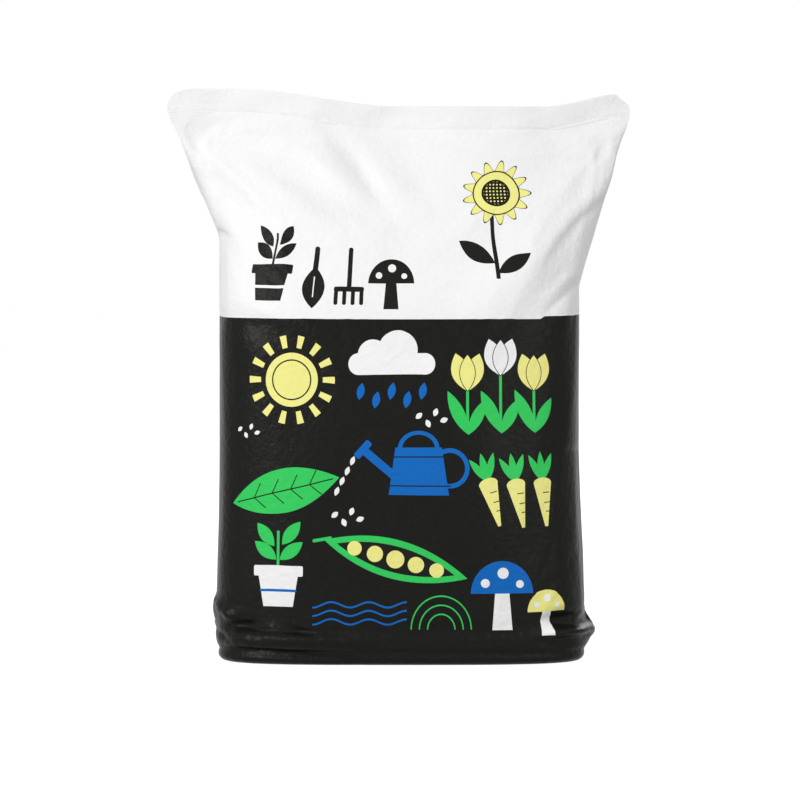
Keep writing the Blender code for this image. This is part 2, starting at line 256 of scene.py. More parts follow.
FINE_CREASES = (
    # Where the left ear's edge ends, and the line down from it.
    Fold((-0.200, 0.459), (-0.192, 0.458), (-0.184, 0.455), 0.007, -0.0035, 1.0),
    Fold((-0.189, 0.456), (-0.187, 0.410), (-0.188, 0.360), 0.006, -0.0012, 1.0),
    # Soft valleys and a lit band that run down from the left ear and the seal.
    Fold((-0.208, 0.568), (-0.128, 0.542), (-0.044, 0.480), 0.023, -0.0034),
    Fold((-0.180, 0.486), (-0.158, 0.464), (-0.136, 0.432), 0.016, -0.0016),
    Fold((-0.080, 0.577), (-0.060, 0.552), (-0.038, 0.530), 0.015, -0.0018, 0.4),
    Fold((-0.099, 0.570), (-0.076, 0.532), (-0.033, 0.498), 0.016, 0.0012),
    Fold((-0.008, 0.571), (0.004, 0.560), (0.018, 0.546), 0.011, -0.0013, 0.5),
    # Two sharp creases on the right shoulder, each with a rim above it.
    Fold((0.223, 0.493), (0.184, 0.472), (0.156, 0.424), 0.009, -0.0015, 1.0),
    Fold((0.216, 0.502), (0.176, 0.481), (0.148, 0.432), 0.010, 0.0011),
    Fold((0.190, 0.404), (0.174, 0.390), (0.157, 0.373), 0.007, -0.0013, 1.0),
    Fold((0.188, 0.414), (0.168, 0.400), (0.150, 0.382), 0.009, 0.0013),
    # A slight crease in the right side.
    Fold((0.197, 0.227), (0.178, 0.229), (0.154, 0.227), 0.006, -0.0012, 1.0),
    # The folded base: the lip that sweeps down from the left corner, and the roll over it.
    Fold((-0.192, 0.0175), (-0.130, 0.0130), (-0.040, 0.0060), 0.0080, -0.0036, 1.0),
    Fold((-0.194, 0.0130), (-0.020, 0.0165), (0.190, 0.0125), 0.0060, -0.0022, 1.0),
    Fold((-0.176, 0.0270), (-0.110, 0.0265), (-0.040, 0.0280), 0.0110, 0.0024),
    Fold((-0.178, 0.0405), (-0.164, 0.0435), (-0.148, 0.0390), 0.0090, -0.0046, 0.6),
    Fold((-0.152, 0.0385), (-0.105, 0.0365), (-0.058, 0.0375), 0.0070, -0.0024, 0.8),
    Fold((-0.197, 0.0640), (-0.187, 0.0560), (-0.176, 0.0460), 0.0080, 0.0022, 0.6),
    Fold((-0.196, 0.0330), (-0.190, 0.0300), (-0.182, 0.0250), 0.0060, -0.0024, 0.8),
    Fold((-0.040, 0.0390), (0.050, 0.0370), (0.150, 0.0400), 0.0110, -0.0012),
    # The pinch at the right corner: two valleys that meet at its tip.
    Fold((0.206, 0.0425), (0.178, 0.0460), (0.148, 0.0470), 0.0100, -0.0052, 0.7),
    Fold((0.206, 0.0345), (0.184, 0.0350), (0.160, 0.0360), 0.0070, 0.0026, 0.6),
    Fold((0.202, 0.0275), (0.176, 0.0235), (0.148, 0.0250), 0.0095, -0.0046, 0.7),
    Fold((0.198, 0.0540), (0.192, 0.0500), (0.188, 0.0455), 0.0060, 0.0016, 0.6),
)


@dataclass(frozen=True)
class FilmForm:
    """The shape that the filled film takes, with the real bag's sizes in metres.

    Where the top edge's dip starts and ends is a share of half the seal's width. Folds need
    some depth of film behind them, and none goes deeper than a share of that depth.
    """

    height: float = 0.612
    seal_width: float = 0.500
    body_width: float = 0.384
    body_depth: float = 0.166
    seal_strip: float = 0.025
    seal_thickness: float = 0.0016
    left_waist: float = 0.450
    right_waist: float = 0.400
    shoulder: float = 0.352
    head_fullness: float = 0.50
    settled_height: float = 0.235
    left_spread: float = 0.004
    right_spread: float = 0.009
    belly: float = 0.005
    body_squareness: float = 3.6
    head_squareness: float = 1.75
    base_radius: float = 0.010
    base_roll: float = 0.0050
    base_roll_height: float = 0.028
    base_roll_span: float = 0.019
    base_crease: float = 0.0020
    base_crease_height: float = 0.011
    base_crease_span: float = 0.006
    left_roll_place: float = -0.110
    left_roll_span: float = 0.120
    right_roll_span: float = 0.090
    least_roll: float = 0.35
    corner_tuck: float = 0.0070
    left_corner_tuck: float = 0.0055
    tuck_height: float = 0.032
    left_tuck_height: float = 0.050
    tuck_span: float = 0.022
    tuck_depth: float = 0.050
    seal_dip: float = 0.019
    dip_start: float = 0.70
    dip_end: float = 0.62
    climb_end: float = 0.97
    right_ear_drop: float = 0.005
    ear_radius: float = 0.022
    ear_blunt: float = 1e-7
    ear_cut: float = 0.015
    ear_lean: float = 0.012
    seal_wave: float = 0.0040
    seal_waves: float = 2.5
    cut_samples: int = 400
    fold_room: float = 3.0
    deepest_fold: float = 0.5
    folds: tuple[Fold, ...] = HEAD_FOLDS + BASE_PLEATS

    @property
    def seal_line(self) -> float:
        """Height at which the weld begins."""
        return self.height - self.seal_strip

    @property
    def half_body(self) -> float:
        """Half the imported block's width."""
        return self.body_width / 2

    @property
    def half_seal(self) -> float:
        """Half the width of the tube laid flat."""
        return self.seal_width / 2

    def head_share(self, height: np.ndarray | float) -> np.ndarray | float:
        """0 at the shoulder and below, 1 at the seal line and above."""
        return np.clip((height - self.shoulder) / (self.seal_line - self.shoulder), 0.0, 1.0)

    def half_width(self, height: float, side: int) -> float:
        """Reach of the film to one side.

        Args:
            height: Height along the film.
            side: -1 for the left and 1 for the right.

        Returns:
            The distance from the middle to the film's edge.
        """
        waist = self.left_waist if side < 0 else self.right_waist
        spread = self.left_spread if side < 0 else self.right_spread
        flare = min(1.0, max(0.0, (height - waist) / (self.seal_line - waist)))
        reach = self.half_body + (self.half_seal - self.half_body) * flare
        reach += spread * float(eased((self.settled_height - height) / self.settled_height))
        over = height - self.seal_line
        if over <= 0:
            return reach
        if side < 0:
            into = max(0.0, over - (self.seal_strip - self.ear_radius))
            rounding = math.sqrt(max(0.0, self.ear_radius**2 - into**2) + self.ear_blunt)
            return reach - self.ear_radius + rounding
        cut = eased((over - (self.seal_strip - self.ear_cut)) / self.ear_cut)
        return reach - self.ear_cut * float(cut)

    def half_depth(self, height: float) -> float:
        """Reach of the film to the front and to the back at a height.

        Args:
            height: Height along the film.

        Returns:
            The distance from the middle.
        """
        left = 1 - float(self.head_share(height))
        fullness = self.head_fullness
        lean = fullness * math.sin(math.pi / 2 * left) + (1 - fullness) * float(eased(left))
        belly = self.belly * float(bell(height - self.settled_height / 2, self.settled_height))
        depth = (self.body_depth - self.seal_thickness) / 2
        return self.seal_thickness / 2 + depth * lean + belly

    def squareness(self, height: float) -> float:
        """The superellipse exponent of the cut at a height."""
        softer = float(eased(self.head_share(height)))
        return self.body_squareness + (self.head_squareness - self.body_squareness) * softer

    def quarter(self, reach: float, depth: float, power: float, count: int) -> np.ndarray:
        """Evenly spaced (x, y) of a quarter of a cut.

        Args:
            reach: Half the width of the cut.
            depth: Half its depth.
            power: Its superellipse exponent.
            count: Spaces between the points.

        Returns:
            Points from the middle of the front to the edge.
        """
        angle = np.linspace(0, math.pi / 2, self.cut_samples)
        x = reach * np.sin(angle) ** (2 / power)
        y = depth * np.abs(np.cos(angle)) ** (2 / power)
        lengths = np.concatenate([[0], np.cumsum(np.hypot(np.diff(x), np.diff(y)))])
        wanted = np.linspace(0, lengths[-1], count + 1)
        return np.stack([np.interp(wanted, lengths, x), np.interp(wanted, lengths, y)], 1)

    def outline(self, height: float, count: int) -> np.ndarray:
        """The closed cut at a height, from the middle of the back round by the left.

        Args:
            height: Height along the film.
            count: Spaces between the points of each quarter.

        Returns:
            (x, y) of 4 * count points.
        """
        depth, power = self.half_depth(height), self.squareness(height)
        right = self.quarter(self.half_width(height, 1), depth, power, count)
        left = self.quarter(self.half_width(height, -1), depth, power, count)
        back_left = left[:-1] * (-1, 1)
        front_left = left[:0:-1] * (-1, -1)
        front_right = right[:-1] * (1, -1)
        back_right = right[:0:-1]
        return np.concatenate([back_left, front_left, front_right, back_right])

    def top_dip(self, x: np.ndarray) -> np.ndarray:
        """How far the top edge hangs below the left ear at x.

        Args:
            x: Places across the bag.

        Returns:
            The drop at each, in metres.
        """
        left_end = -self.dip_start * self.half_seal
        right_end = self.dip_end * self.half_seal
        falling = self.seal_dip * eased((x - left_end) / -left_end)
        climb = eased((x - right_end) / (self.half_seal * self.climb_end - right_end))
        rising = self.seal_dip + (self.right_ear_drop - self.seal_dip) * climb
        return np.where(x < 0, falling, rising)

    def fold_relief(self, x: np.ndarray, z: np.ndarray, front: np.ndarray) -> np.ndarray:
        """The rise of all folds; the back has the front's folds turned round.

        Args:
            x: Places across the bag.
            z: Heights of the same points.
            front: Which of them are on the front.

        Returns:
            The rise at each point, in metres.
        """
        total = np.zeros(x.shape)
        for fold in self.folds:
            total += np.where(front, fold.relief(x, z), fold.relief(-x, z))
        return total

    def corner_relief(self, x: np.ndarray, y: np.ndarray, z: np.ndarray) -> np.ndarray:
        """How far the base's folded corners stand out of the two narrow sides.

        Args:
            x: Places across the bag.
            y: Places through it.
            z: Heights.

        Returns:
            The rise at each point, in metres.
        """
        height = np.where(x < 0, self.left_tuck_height, self.tuck_height)
        reach = np.where(x < 0, self.left_corner_tuck, self.corner_tuck)
        towards_side = eased(np.abs(x) / self.half_body * 2 - 1)
        near = bell(z - height, self.tuck_span) * bell(y, self.tuck_depth)
        return reach * near * towards_side

    def roll_relief(self, x: np.ndarray, z: np.ndarray) -> np.ndarray:
        """How far the film rolls out, and creases in, just above the base.

        Args:
            x: Places across the bag.
            z: Heights of the same points.

        Returns:
            The rise at each point, in metres.
        """
        left = bell(x - self.left_roll_place, self.left_roll_span)
        right = bell(x - self.half_body, self.right_roll_span)
        strength = self.least_roll + (1 - self.least_roll) * np.minimum(1.0, left + right)
        roll = self.base_roll * strength * bell(z - self.base_roll_height, self.base_roll_span)
        crease = bell(z - self.base_crease_height, self.base_crease_span)
        return roll - self.base_crease * crease

    def points(self, heights: np.ndarray, count: int) -> np.ndarray:
        """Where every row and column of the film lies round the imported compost.

        Args:
            heights: Height along the film of each row.
            count: Columns of each quarter.

        Returns:
            An array of rows, columns and x, y, z.
        """
        cuts = np.stack([self.outline(float(height), count) for height in heights])
        x, y = cuts[..., 0], cuts[..., 1]
        z = np.repeat(heights[:, None], x.shape[1], 1)
        depth = np.array([self.half_depth(float(height)) for height in heights])[:, None]
        outward = np.stack([x / self.half_body**2, y / (self.body_depth / 2) ** 2], 2)
        outward /= np.linalg.norm(outward, axis=2, keepdims=True)
        below = np.clip(self.base_radius - z, 0.0, None)
        inset = self.base_radius - np.sqrt(self.base_radius**2 - below**2)
        deep = eased(self.fold_room * depth / (self.body_depth / 2))
        room = deep * eased(self.fold_room * np.abs(y) / depth)
        relief = room * self.fold_relief(x, z, y < 0)
        push = np.maximum(relief, -self.deepest_fold * np.abs(y))
        push += self.roll_relief(x, z) + self.corner_relief(x, y, z) - inset
        rise = eased(self.head_share(z))
        across = x / self.half_seal
        wave = np.sin(2 * math.pi * self.seal_waves * (x / self.seal_width + 0.5))
        sway = rise * (self.seal_wave * wave + self.ear_lean * across * across**2)
        moved = np.stack([x, y, z - rise * self.top_dip(x)], 2)
        moved[..., :2] += outward * push[..., None]
        moved[..., 1] += sway
        return moved


class Ink(Enum):
    """The film's own white and the printing inks, as linear colours."""

    WHITE = (0.880, 0.885, 0.880)
    BLACK = (0.0100, 0.0100, 0.0080)
    GREEN = (0.038, 0.590, 0.115)
    YELLOW = (0.870, 0.835, 0.272)
    BLUE = (0.007, 0.139, 0.505)

    @property
    def rgba(self) -> tuple[float, float, float, float]:
        """The colour as a shader socket takes it."""
        return (*self.value, 1.0)


class Form(Enum):
    """The plain forms that the print is made of."""

    DISC = "disc"
    DOME = "dome"
    LEAF = "leaf"
    BLOCK = "block"
    TAPER = "taper"
    RING = "ring"
    ARCH = "arch"
    WAVE = "wave"
    FLOWER = "flower"
    RAYS = "rays"
    DOTS = "dots"


@dataclass(frozen=True)
class Patch:
    """One printed form: its ink, middle, width and height, its turn and one detail.

    The detail is a corner radius for a block, the width of the foot over the width of the
    top for a taper, half a line's width for a ring, an arch or a wave, and a count for
    petals, rays and dots.
    """

    form: Form
    ink: Ink
    place: Pair
    size: Pair
    turn: float = 0.0
    detail: float = 0.0

    def placed(self, x: float, z: float, scale: float) -> Patch:
        """The same patch in a motif of this place and scale.

        Args:
            x: The motif's place across.
            z: Its height on the film.
            scale: Its scale.

        Returns:
            The moved and scaled patch.
        """
        counted = self.form in (Form.TAPER, Form.FLOWER, Form.RAYS, Form.DOTS)
        return replace(
            self,
            place=(x + scale * self.place[0], z + scale * self.place[1]),
            size=(scale * self.size[0], scale * self.size[1]),
            detail=self.detail if counted else scale * self.detail,
        )

    @property
    def half(self) -> Triple:
        """Half the form's width and height; a block's without its rounded corners."""
        less = self.detail if self.form is Form.BLOCK else 0.0
        return self.size[0] / 2 - less, self.size[1] / 2 - less, 1.0

    @property
    def measure(self) -> float:
        """The detail as the form's node group takes it.

        Returns:
            A share of the form's size, a corner radius or a count.
        """
        if self.form in (Form.RING, Form.ARCH):
            return self.detail / self.half[0]
        if self.form is Form.WAVE:
            return self.detail / self.half[1]
        if self.form is Form.TAPER:
            return (1 - self.detail) / 2
        return self.detail


@dataclass(frozen=True)
class PrintZone:
    """A part of the front with a material of its own, so that each shader stays small."""

    low: Pair
    high: Pair
    margin: float = 0.008

    def holds(self, across: np.ndarray, up: np.ndarray) -> np.ndarray:
        """Which points of the film lie in the zone."""
        sideways = (across >= self.low[0]) & (across < self.high[0])
        return sideways & (up >= self.low[1]) & (up < self.high[1])

    def touches(self, patch: Patch) -> bool:
        """Whether a patch may reach into the zone.

        Args:
            patch: A patch in its place on the film.

        Returns:
            True if its reach and the margin come to the zone.
        """
        reach = math.hypot(*patch.size) / 2 + self.margin
        away = [max(low - at, 0.0, at - high)
                for low, at, high in zip(self.low, patch.place, self.high)]
        return math.hypot(*away) < reach


ZONES = (
    PrintZone((-0.200, 0.375), (0.020, 0.465)),
    PrintZone((0.050, 0.410), (0.170, 0.560)),
    PrintZone((-0.200, 0.250), (0.046, 0.375)),
    PrintZone((0.046, 0.228), (0.200, 0.375)),
    PrintZone((-0.200, 0.146), (0.060, 0.250)),
    PrintZone((0.060, 0.128), (0.200, 0.228)),
    PrintZone((-0.200, 0.020), (0.060, 0.146)),
    PrintZone((0.060, 0.020), (0.200, 0.128)),
)


@dataclass
class NodeBench:
    """Adds nodes to a tree, each one after the nodes that feed it."""

    tree: bpy.types.ShaderNodeTree

    def node(self, kind: str, feeds: Feeds | None = None, **settings: object) -> bpy.types.Node:
        """A new node with these settings, and with its inputs set or linked.

        Args:
            kind: The node's type.
            feeds: Inputs by name or number.
            settings: Properties by name.

        Returns:
            The node.
        """
        made = self.tree.nodes.new(kind)
        for name, value in settings.items():
            setattr(made, name, value)
        for name, value in (feeds or {}).items():
            self.feed(made.inputs[name], value)
        return made

    def feed(self, socket: Socket, value: Socket | float | tuple) -> None:
        """Links a socket to another one, or sets it.

        Args:
            socket: The input.
            value: An output to link, or a value.
        """
        if isinstance(value, bpy.types.NodeSocket):
            self.tree.links.new(value, socket)
        else:
            socket.default_value = value

    def math(self, operation: str, *values: Socket | float) -> Socket:
        """The result of a Math node."""
        return self.node("ShaderNodeMath", dict(enumerate(values)), operation=operation).outputs[0]

    def vector(self, operation: str, *values: Socket | tuple) -> Socket:
        """The result of a Vector Math node, a number for a length or a dot product."""
        made = self.node("ShaderNodeVectorMath", dict(enumerate(values)), operation=operation)
        return made.outputs[1 if operation in ("LENGTH", "DOT_PRODUCT") else 0]

    def along(self, vector: Socket, axis: Triple) -> Socket:
        """The part of a vector along an axis."""
        return self.vector("DOT_PRODUCT", vector, axis)

    def within(self, vector: Socket, limit: Socket | float) -> Socket:
        """Where a vector is shorter than a limit."""
        return self.math("LESS_THAN", self.vector("LENGTH", vector), limit)

    def both(self, first: Socket, second: Socket) -> Socket:
        """Where both masks hold."""
        return self.math("MULTIPLY", first, second)

    def mixed(self, share: Socket, below: Socket | tuple, above: Socket | tuple) -> Socket:
        """One colour over another where the share is 1."""
        colours = {"Factor": share, 6: below, 7: above}
        return self.node("ShaderNodeMix", colours, data_type="RGBA").outputs[2]

    def noise(self, place: Socket, size: float, detail: float, rough: float = 0.5) -> Socket:
        """Noise with lumps of a size."""
        feeds = {"Vector": place, "Scale": 1 / size, "Detail": detail, "Roughness": rough}
        return self.node("ShaderNodeTexNoise", feeds).outputs["Fac"]

    def change(self, value: Socket, between: Pair, low: float, high: float) -> Socket:
        """A number that goes smoothly from low to high between two values.

        Args:
            value: What it follows.
            between: Where it starts and ends.
            low: The number at the start.
            high: The number at the end.

        Returns:
            The socket that carries it.
        """
        start, end = between
        feeds = {"Value": value, "From Min": start, "From Max": end, "To Min": low, "To Max": high}
        return self.node("ShaderNodeMapRange", feeds, interpolation_type="SMOOTHSTEP").outputs[0]

    def sockets(self, **kinds: str) -> None:
        """Gives a node group its input sockets, by name and kind."""
        for name, kind in kinds.items():
            self.tree.interface.new_socket(name, in_out="INPUT", socket_type=f"NodeSocket{kind}")

    def give(self, name: str, kind: str, value: Socket) -> None:
        """Gives a node group its output socket and links it."""
        self.tree.interface.new_socket(name, in_out="OUTPUT", socket_type=f"NodeSocket{kind}")
        self.feed(self.node("NodeGroupOutput").inputs[name], value)

    def grouped(self, tree: bpy.types.ShaderNodeTree) -> bpy.types.Node:
        """A node that holds a node group."""
        return self.node("ShaderNodeGroup", node_tree=tree)


ACROSS = (1.0, 0.0, 0.0)
UP = (0.0, 1.0, 0.0)


def film_map_group() -> bpy.types.ShaderNodeTree:
    """A node group that gives the film's own coordinates.

    Returns:
        The group's tree.
    """
    bench = NodeBench(bpy.data.node_groups.new("film_map", "ShaderNodeTree"))
    bench.give("Film", "Vector", bench.node("ShaderNodeUVMap", uv_map="film").outputs[0])
    return bench.tree


def placed_group() -> bpy.types.ShaderNodeTree:
    """A node group that gives coordinates centred on a place, turned and scaled.

    Returns:
        The group's tree.
    """
    bench = NodeBench(bpy.data.node_groups.new("placed", "ShaderNodeTree"))
    bench.sockets(Film="Vector", Place="Vector", Turn="Vector", Scale="Vector")
    given = bench.node("NodeGroupInput").outputs
    feeds = {"Vector": given["Film"], "Location": given["Place"],
             "Rotation": given["Turn"], "Scale": given["Scale"]}
    mapping = bench.node("ShaderNodeMapping", feeds, vector_type="TEXTURE")
    bench.give("Unit", "Vector", mapping.outputs[0])
    return bench.tree


WAVE_SWING = math.pi * 2.5
PETAL_DEPTH = 0.16
RAY_GAP = 0.45
RAY_MIDDLE, RAY_HALF = 0.86, 0.14
DOT_RADIUS = 0.25
DOT_FIELD = 0.97


@dataclass
class FormBench(NodeBench):
    """Builds the node group of one plain form, which prints an ink over the colour below."""

    form: Form
    placed: bpy.types.ShaderNodeTree

    def mask(self, given: bpy.types.Node) -> Socket:
        """1 inside the form and 0 outside it.

        Args:
            given: The node with the group's inputs.

        Returns:
            The socket that carries the mask.
        """
        placed = self.grouped(self.placed)
        for name in ("Film", "Place", "Turn"):
            self.feed(placed.inputs[name], given.outputs[name])
        detail = given.outputs["Detail"]
        unit = placed.outputs["Unit"]
        if self.form is Form.BLOCK:
            self.feed(placed.inputs["Scale"], (1.0, 1.0, 1.0))
            folded = self.vector("ABSOLUTE", unit)
            over = self.vector("SUBTRACT", folded, given.outputs["Half"])
            outside = self.vector("MAXIMUM", over, (0.0, 0.0, 0.0))
            return self.within(outside, detail)
        self.feed(placed.inputs["Scale"], given.outputs["Half"])
        return getattr(self, self.form.value)(unit, detail)

    def upper(self, unit: Socket, mask: Socket) -> Socket:
        """The upper half of a mask."""
        return self.both(mask, self.math("GREATER_THAN", self.along(unit, UP), 0.0))

    def disc(self, unit: Socket, detail: Socket) -> Socket:
        """A round or oval disc."""
        return self.within(unit, 1.0)

    def dome(self, unit: Socket, detail: Socket) -> Socket:
        """The upper half of a disc."""
        return self.upper(unit, self.disc(unit, detail))

    def leaf(self, unit: Socket, detail: Socket) -> Socket:
        """A leaf with two pointed ends.

        Args:
            unit: The form's own coordinates, from -1 to 1.
            detail: Not used.

        Returns:
            The socket that is 1 inside.
        """
        folded = self.vector("ABSOLUTE", unit)
        weight = self.vector("MAXIMUM", folded, UP)
        return self.math("LESS_THAN", self.vector("DOT_PRODUCT", folded, weight), 1.0)

    def taper(self, unit: Socket, detail: Socket) -> Socket:
        """A block whose foot is narrower than its top.

        Args:
            unit: The form's own coordinates, from -1 to 1.
            detail: The patch's detail.

        Returns:
            The socket that is 1 inside.
        """
        up = self.along(unit, UP)
        middle = self.math("SUBTRACT", 1.0, detail)
        side = self.math("MULTIPLY_ADD", up, detail, middle)
        across = self.math("ABSOLUTE", self.along(unit, ACROSS))
        inside = self.math("LESS_THAN", across, side)
        return self.both(inside, self.math("LESS_THAN", self.math("ABSOLUTE", up), 1.0))

    def ring(self, unit: Socket, detail: Socket) -> Socket:
        """A line round a disc."""
        return self.math("COMPARE", self.vector("LENGTH", unit), 1.0, detail)

    def arch(self, unit: Socket, detail: Socket) -> Socket:
        """The upper half of a ring."""
        return self.upper(unit, self.ring(unit, detail))

    def wave(self, unit: Socket, detail: Socket) -> Socket:
        """A waving line.

        Args:
            unit: The form's own coordinates, from -1 to 1.
            detail: The patch's detail.

        Returns:
            The socket that is 1 inside.
        """
        across = self.along(unit, ACROSS)
        swing = self.math("SINE", self.math("MULTIPLY", across, WAVE_SWING))
        line = self.math("COMPARE", self.along(unit, UP), swing, detail)
        return self.both(line, self.math("LESS_THAN", self.math("ABSOLUTE", across), 1.0))

    def swing(self, unit: Socket, detail: Socket) -> Socket:
        """A number that swings this many times on the way round."""
        angle = self.math("ARCTAN2", self.along(unit, UP), self.along(unit, ACROSS))
        return self.math("COSINE", self.math("MULTIPLY", angle, detail))

    def flower(self, unit: Socket, detail: Socket) -> Socket:
        """Petals round a middle.

        Args:
            unit: The form's own coordinates, from -1 to 1.
            detail: The patch's detail.

        Returns:
            The socket that is 1 inside.
        """
        swing = self.swing(unit, detail)
        petal = self.math("MULTIPLY_ADD", swing, PETAL_DEPTH, 1 - PETAL_DEPTH)
        return self.within(unit, petal)

    def rays(self, unit: Socket, detail: Socket) -> Socket:
        """Short strokes round a middle.

        Args:
            unit: The form's own coordinates, from -1 to 1.
            detail: The patch's detail.

        Returns:
            The socket that is 1 inside.
        """
        stroke = self.math("GREATER_THAN", self.swing(unit, detail), RAY_GAP)
        away = self.vector("LENGTH", unit)
        return self.both(stroke, self.math("COMPARE", away, RAY_MIDDLE, RAY_HALF))

    def dots(self, unit: Socket, detail: Socket) -> Socket:
        """Rows of dots within an oval.

        Args:
            unit: The form's own coordinates, from -1 to 1.
            detail: The patch's detail.

        Returns:
            The socket that is 1 inside.
        """
        cells = self.vector("SCALE", unit)
        self.feed(cells.node.inputs["Scale"], detail)
        cell = self.vector("SUBTRACT", self.vector("FRACTION", cells), (0.5, 0.5, 0.0))
        return self.both(self.within(cell, DOT_RADIUS), self.within(unit, DOT_FIELD))

    def build(self) -> bpy.types.ShaderNodeTree:
        """Fills the group.

        Returns:
            The group's tree.
        """
        self.sockets(Film="Vector", Place="Vector", Turn="Vector", Half="Vector",
                     Detail="Float", Ink="Color", Below="Color")
        given = self.node("NodeGroupInput")
        inside = self.mask(given)
        colour = self.mixed(inside, given.outputs["Below"], given.outputs["Ink"])
        self.give("Print", "Color", colour)
        return self.tree


@dataclass
class PrintPlate(NodeBench):
    """Draws patches one over the other, on the film's own coordinates."""

    film_map: Socket | None = None
    colour: Socket | None = None
    placed: bpy.types.ShaderNodeTree = field(default_factory=placed_group)
    groups: dict[Form, bpy.types.ShaderNodeTree] = field(default_factory=dict)

    def group(self, form: Form) -> bpy.types.ShaderNodeTree:
        """The node group of a form, made when it is first needed.

        Args:
            form: The form.

        Returns:
            The group's tree.
        """
        if form not in self.groups:
            tree = bpy.data.node_groups.new(f"print_{form.value}", "ShaderNodeTree")
            self.groups[form] = FormBench(tree, form, self.placed).build()
        return self.groups[form]

    def lay(self, patch: Patch) -> None:
        """Prints one patch over what is there.

        Args:
            patch: A patch in its place on the film.
        """
        tree = self.group(patch.form)
        feeds = {
            "Film": self.film_map,
            "Place": (*patch.place, 0.0),
            "Turn": (0.0, 0.0, math.radians(patch.turn)),
            "Half": patch.half,
            "Detail": patch.measure,
            "Ink": patch.ink.rgba,
            "Below": self.colour,
        }
        made = self.node("ShaderNodeGroup", feeds, node_tree=tree)
        self.colour = made.outputs["Print"]


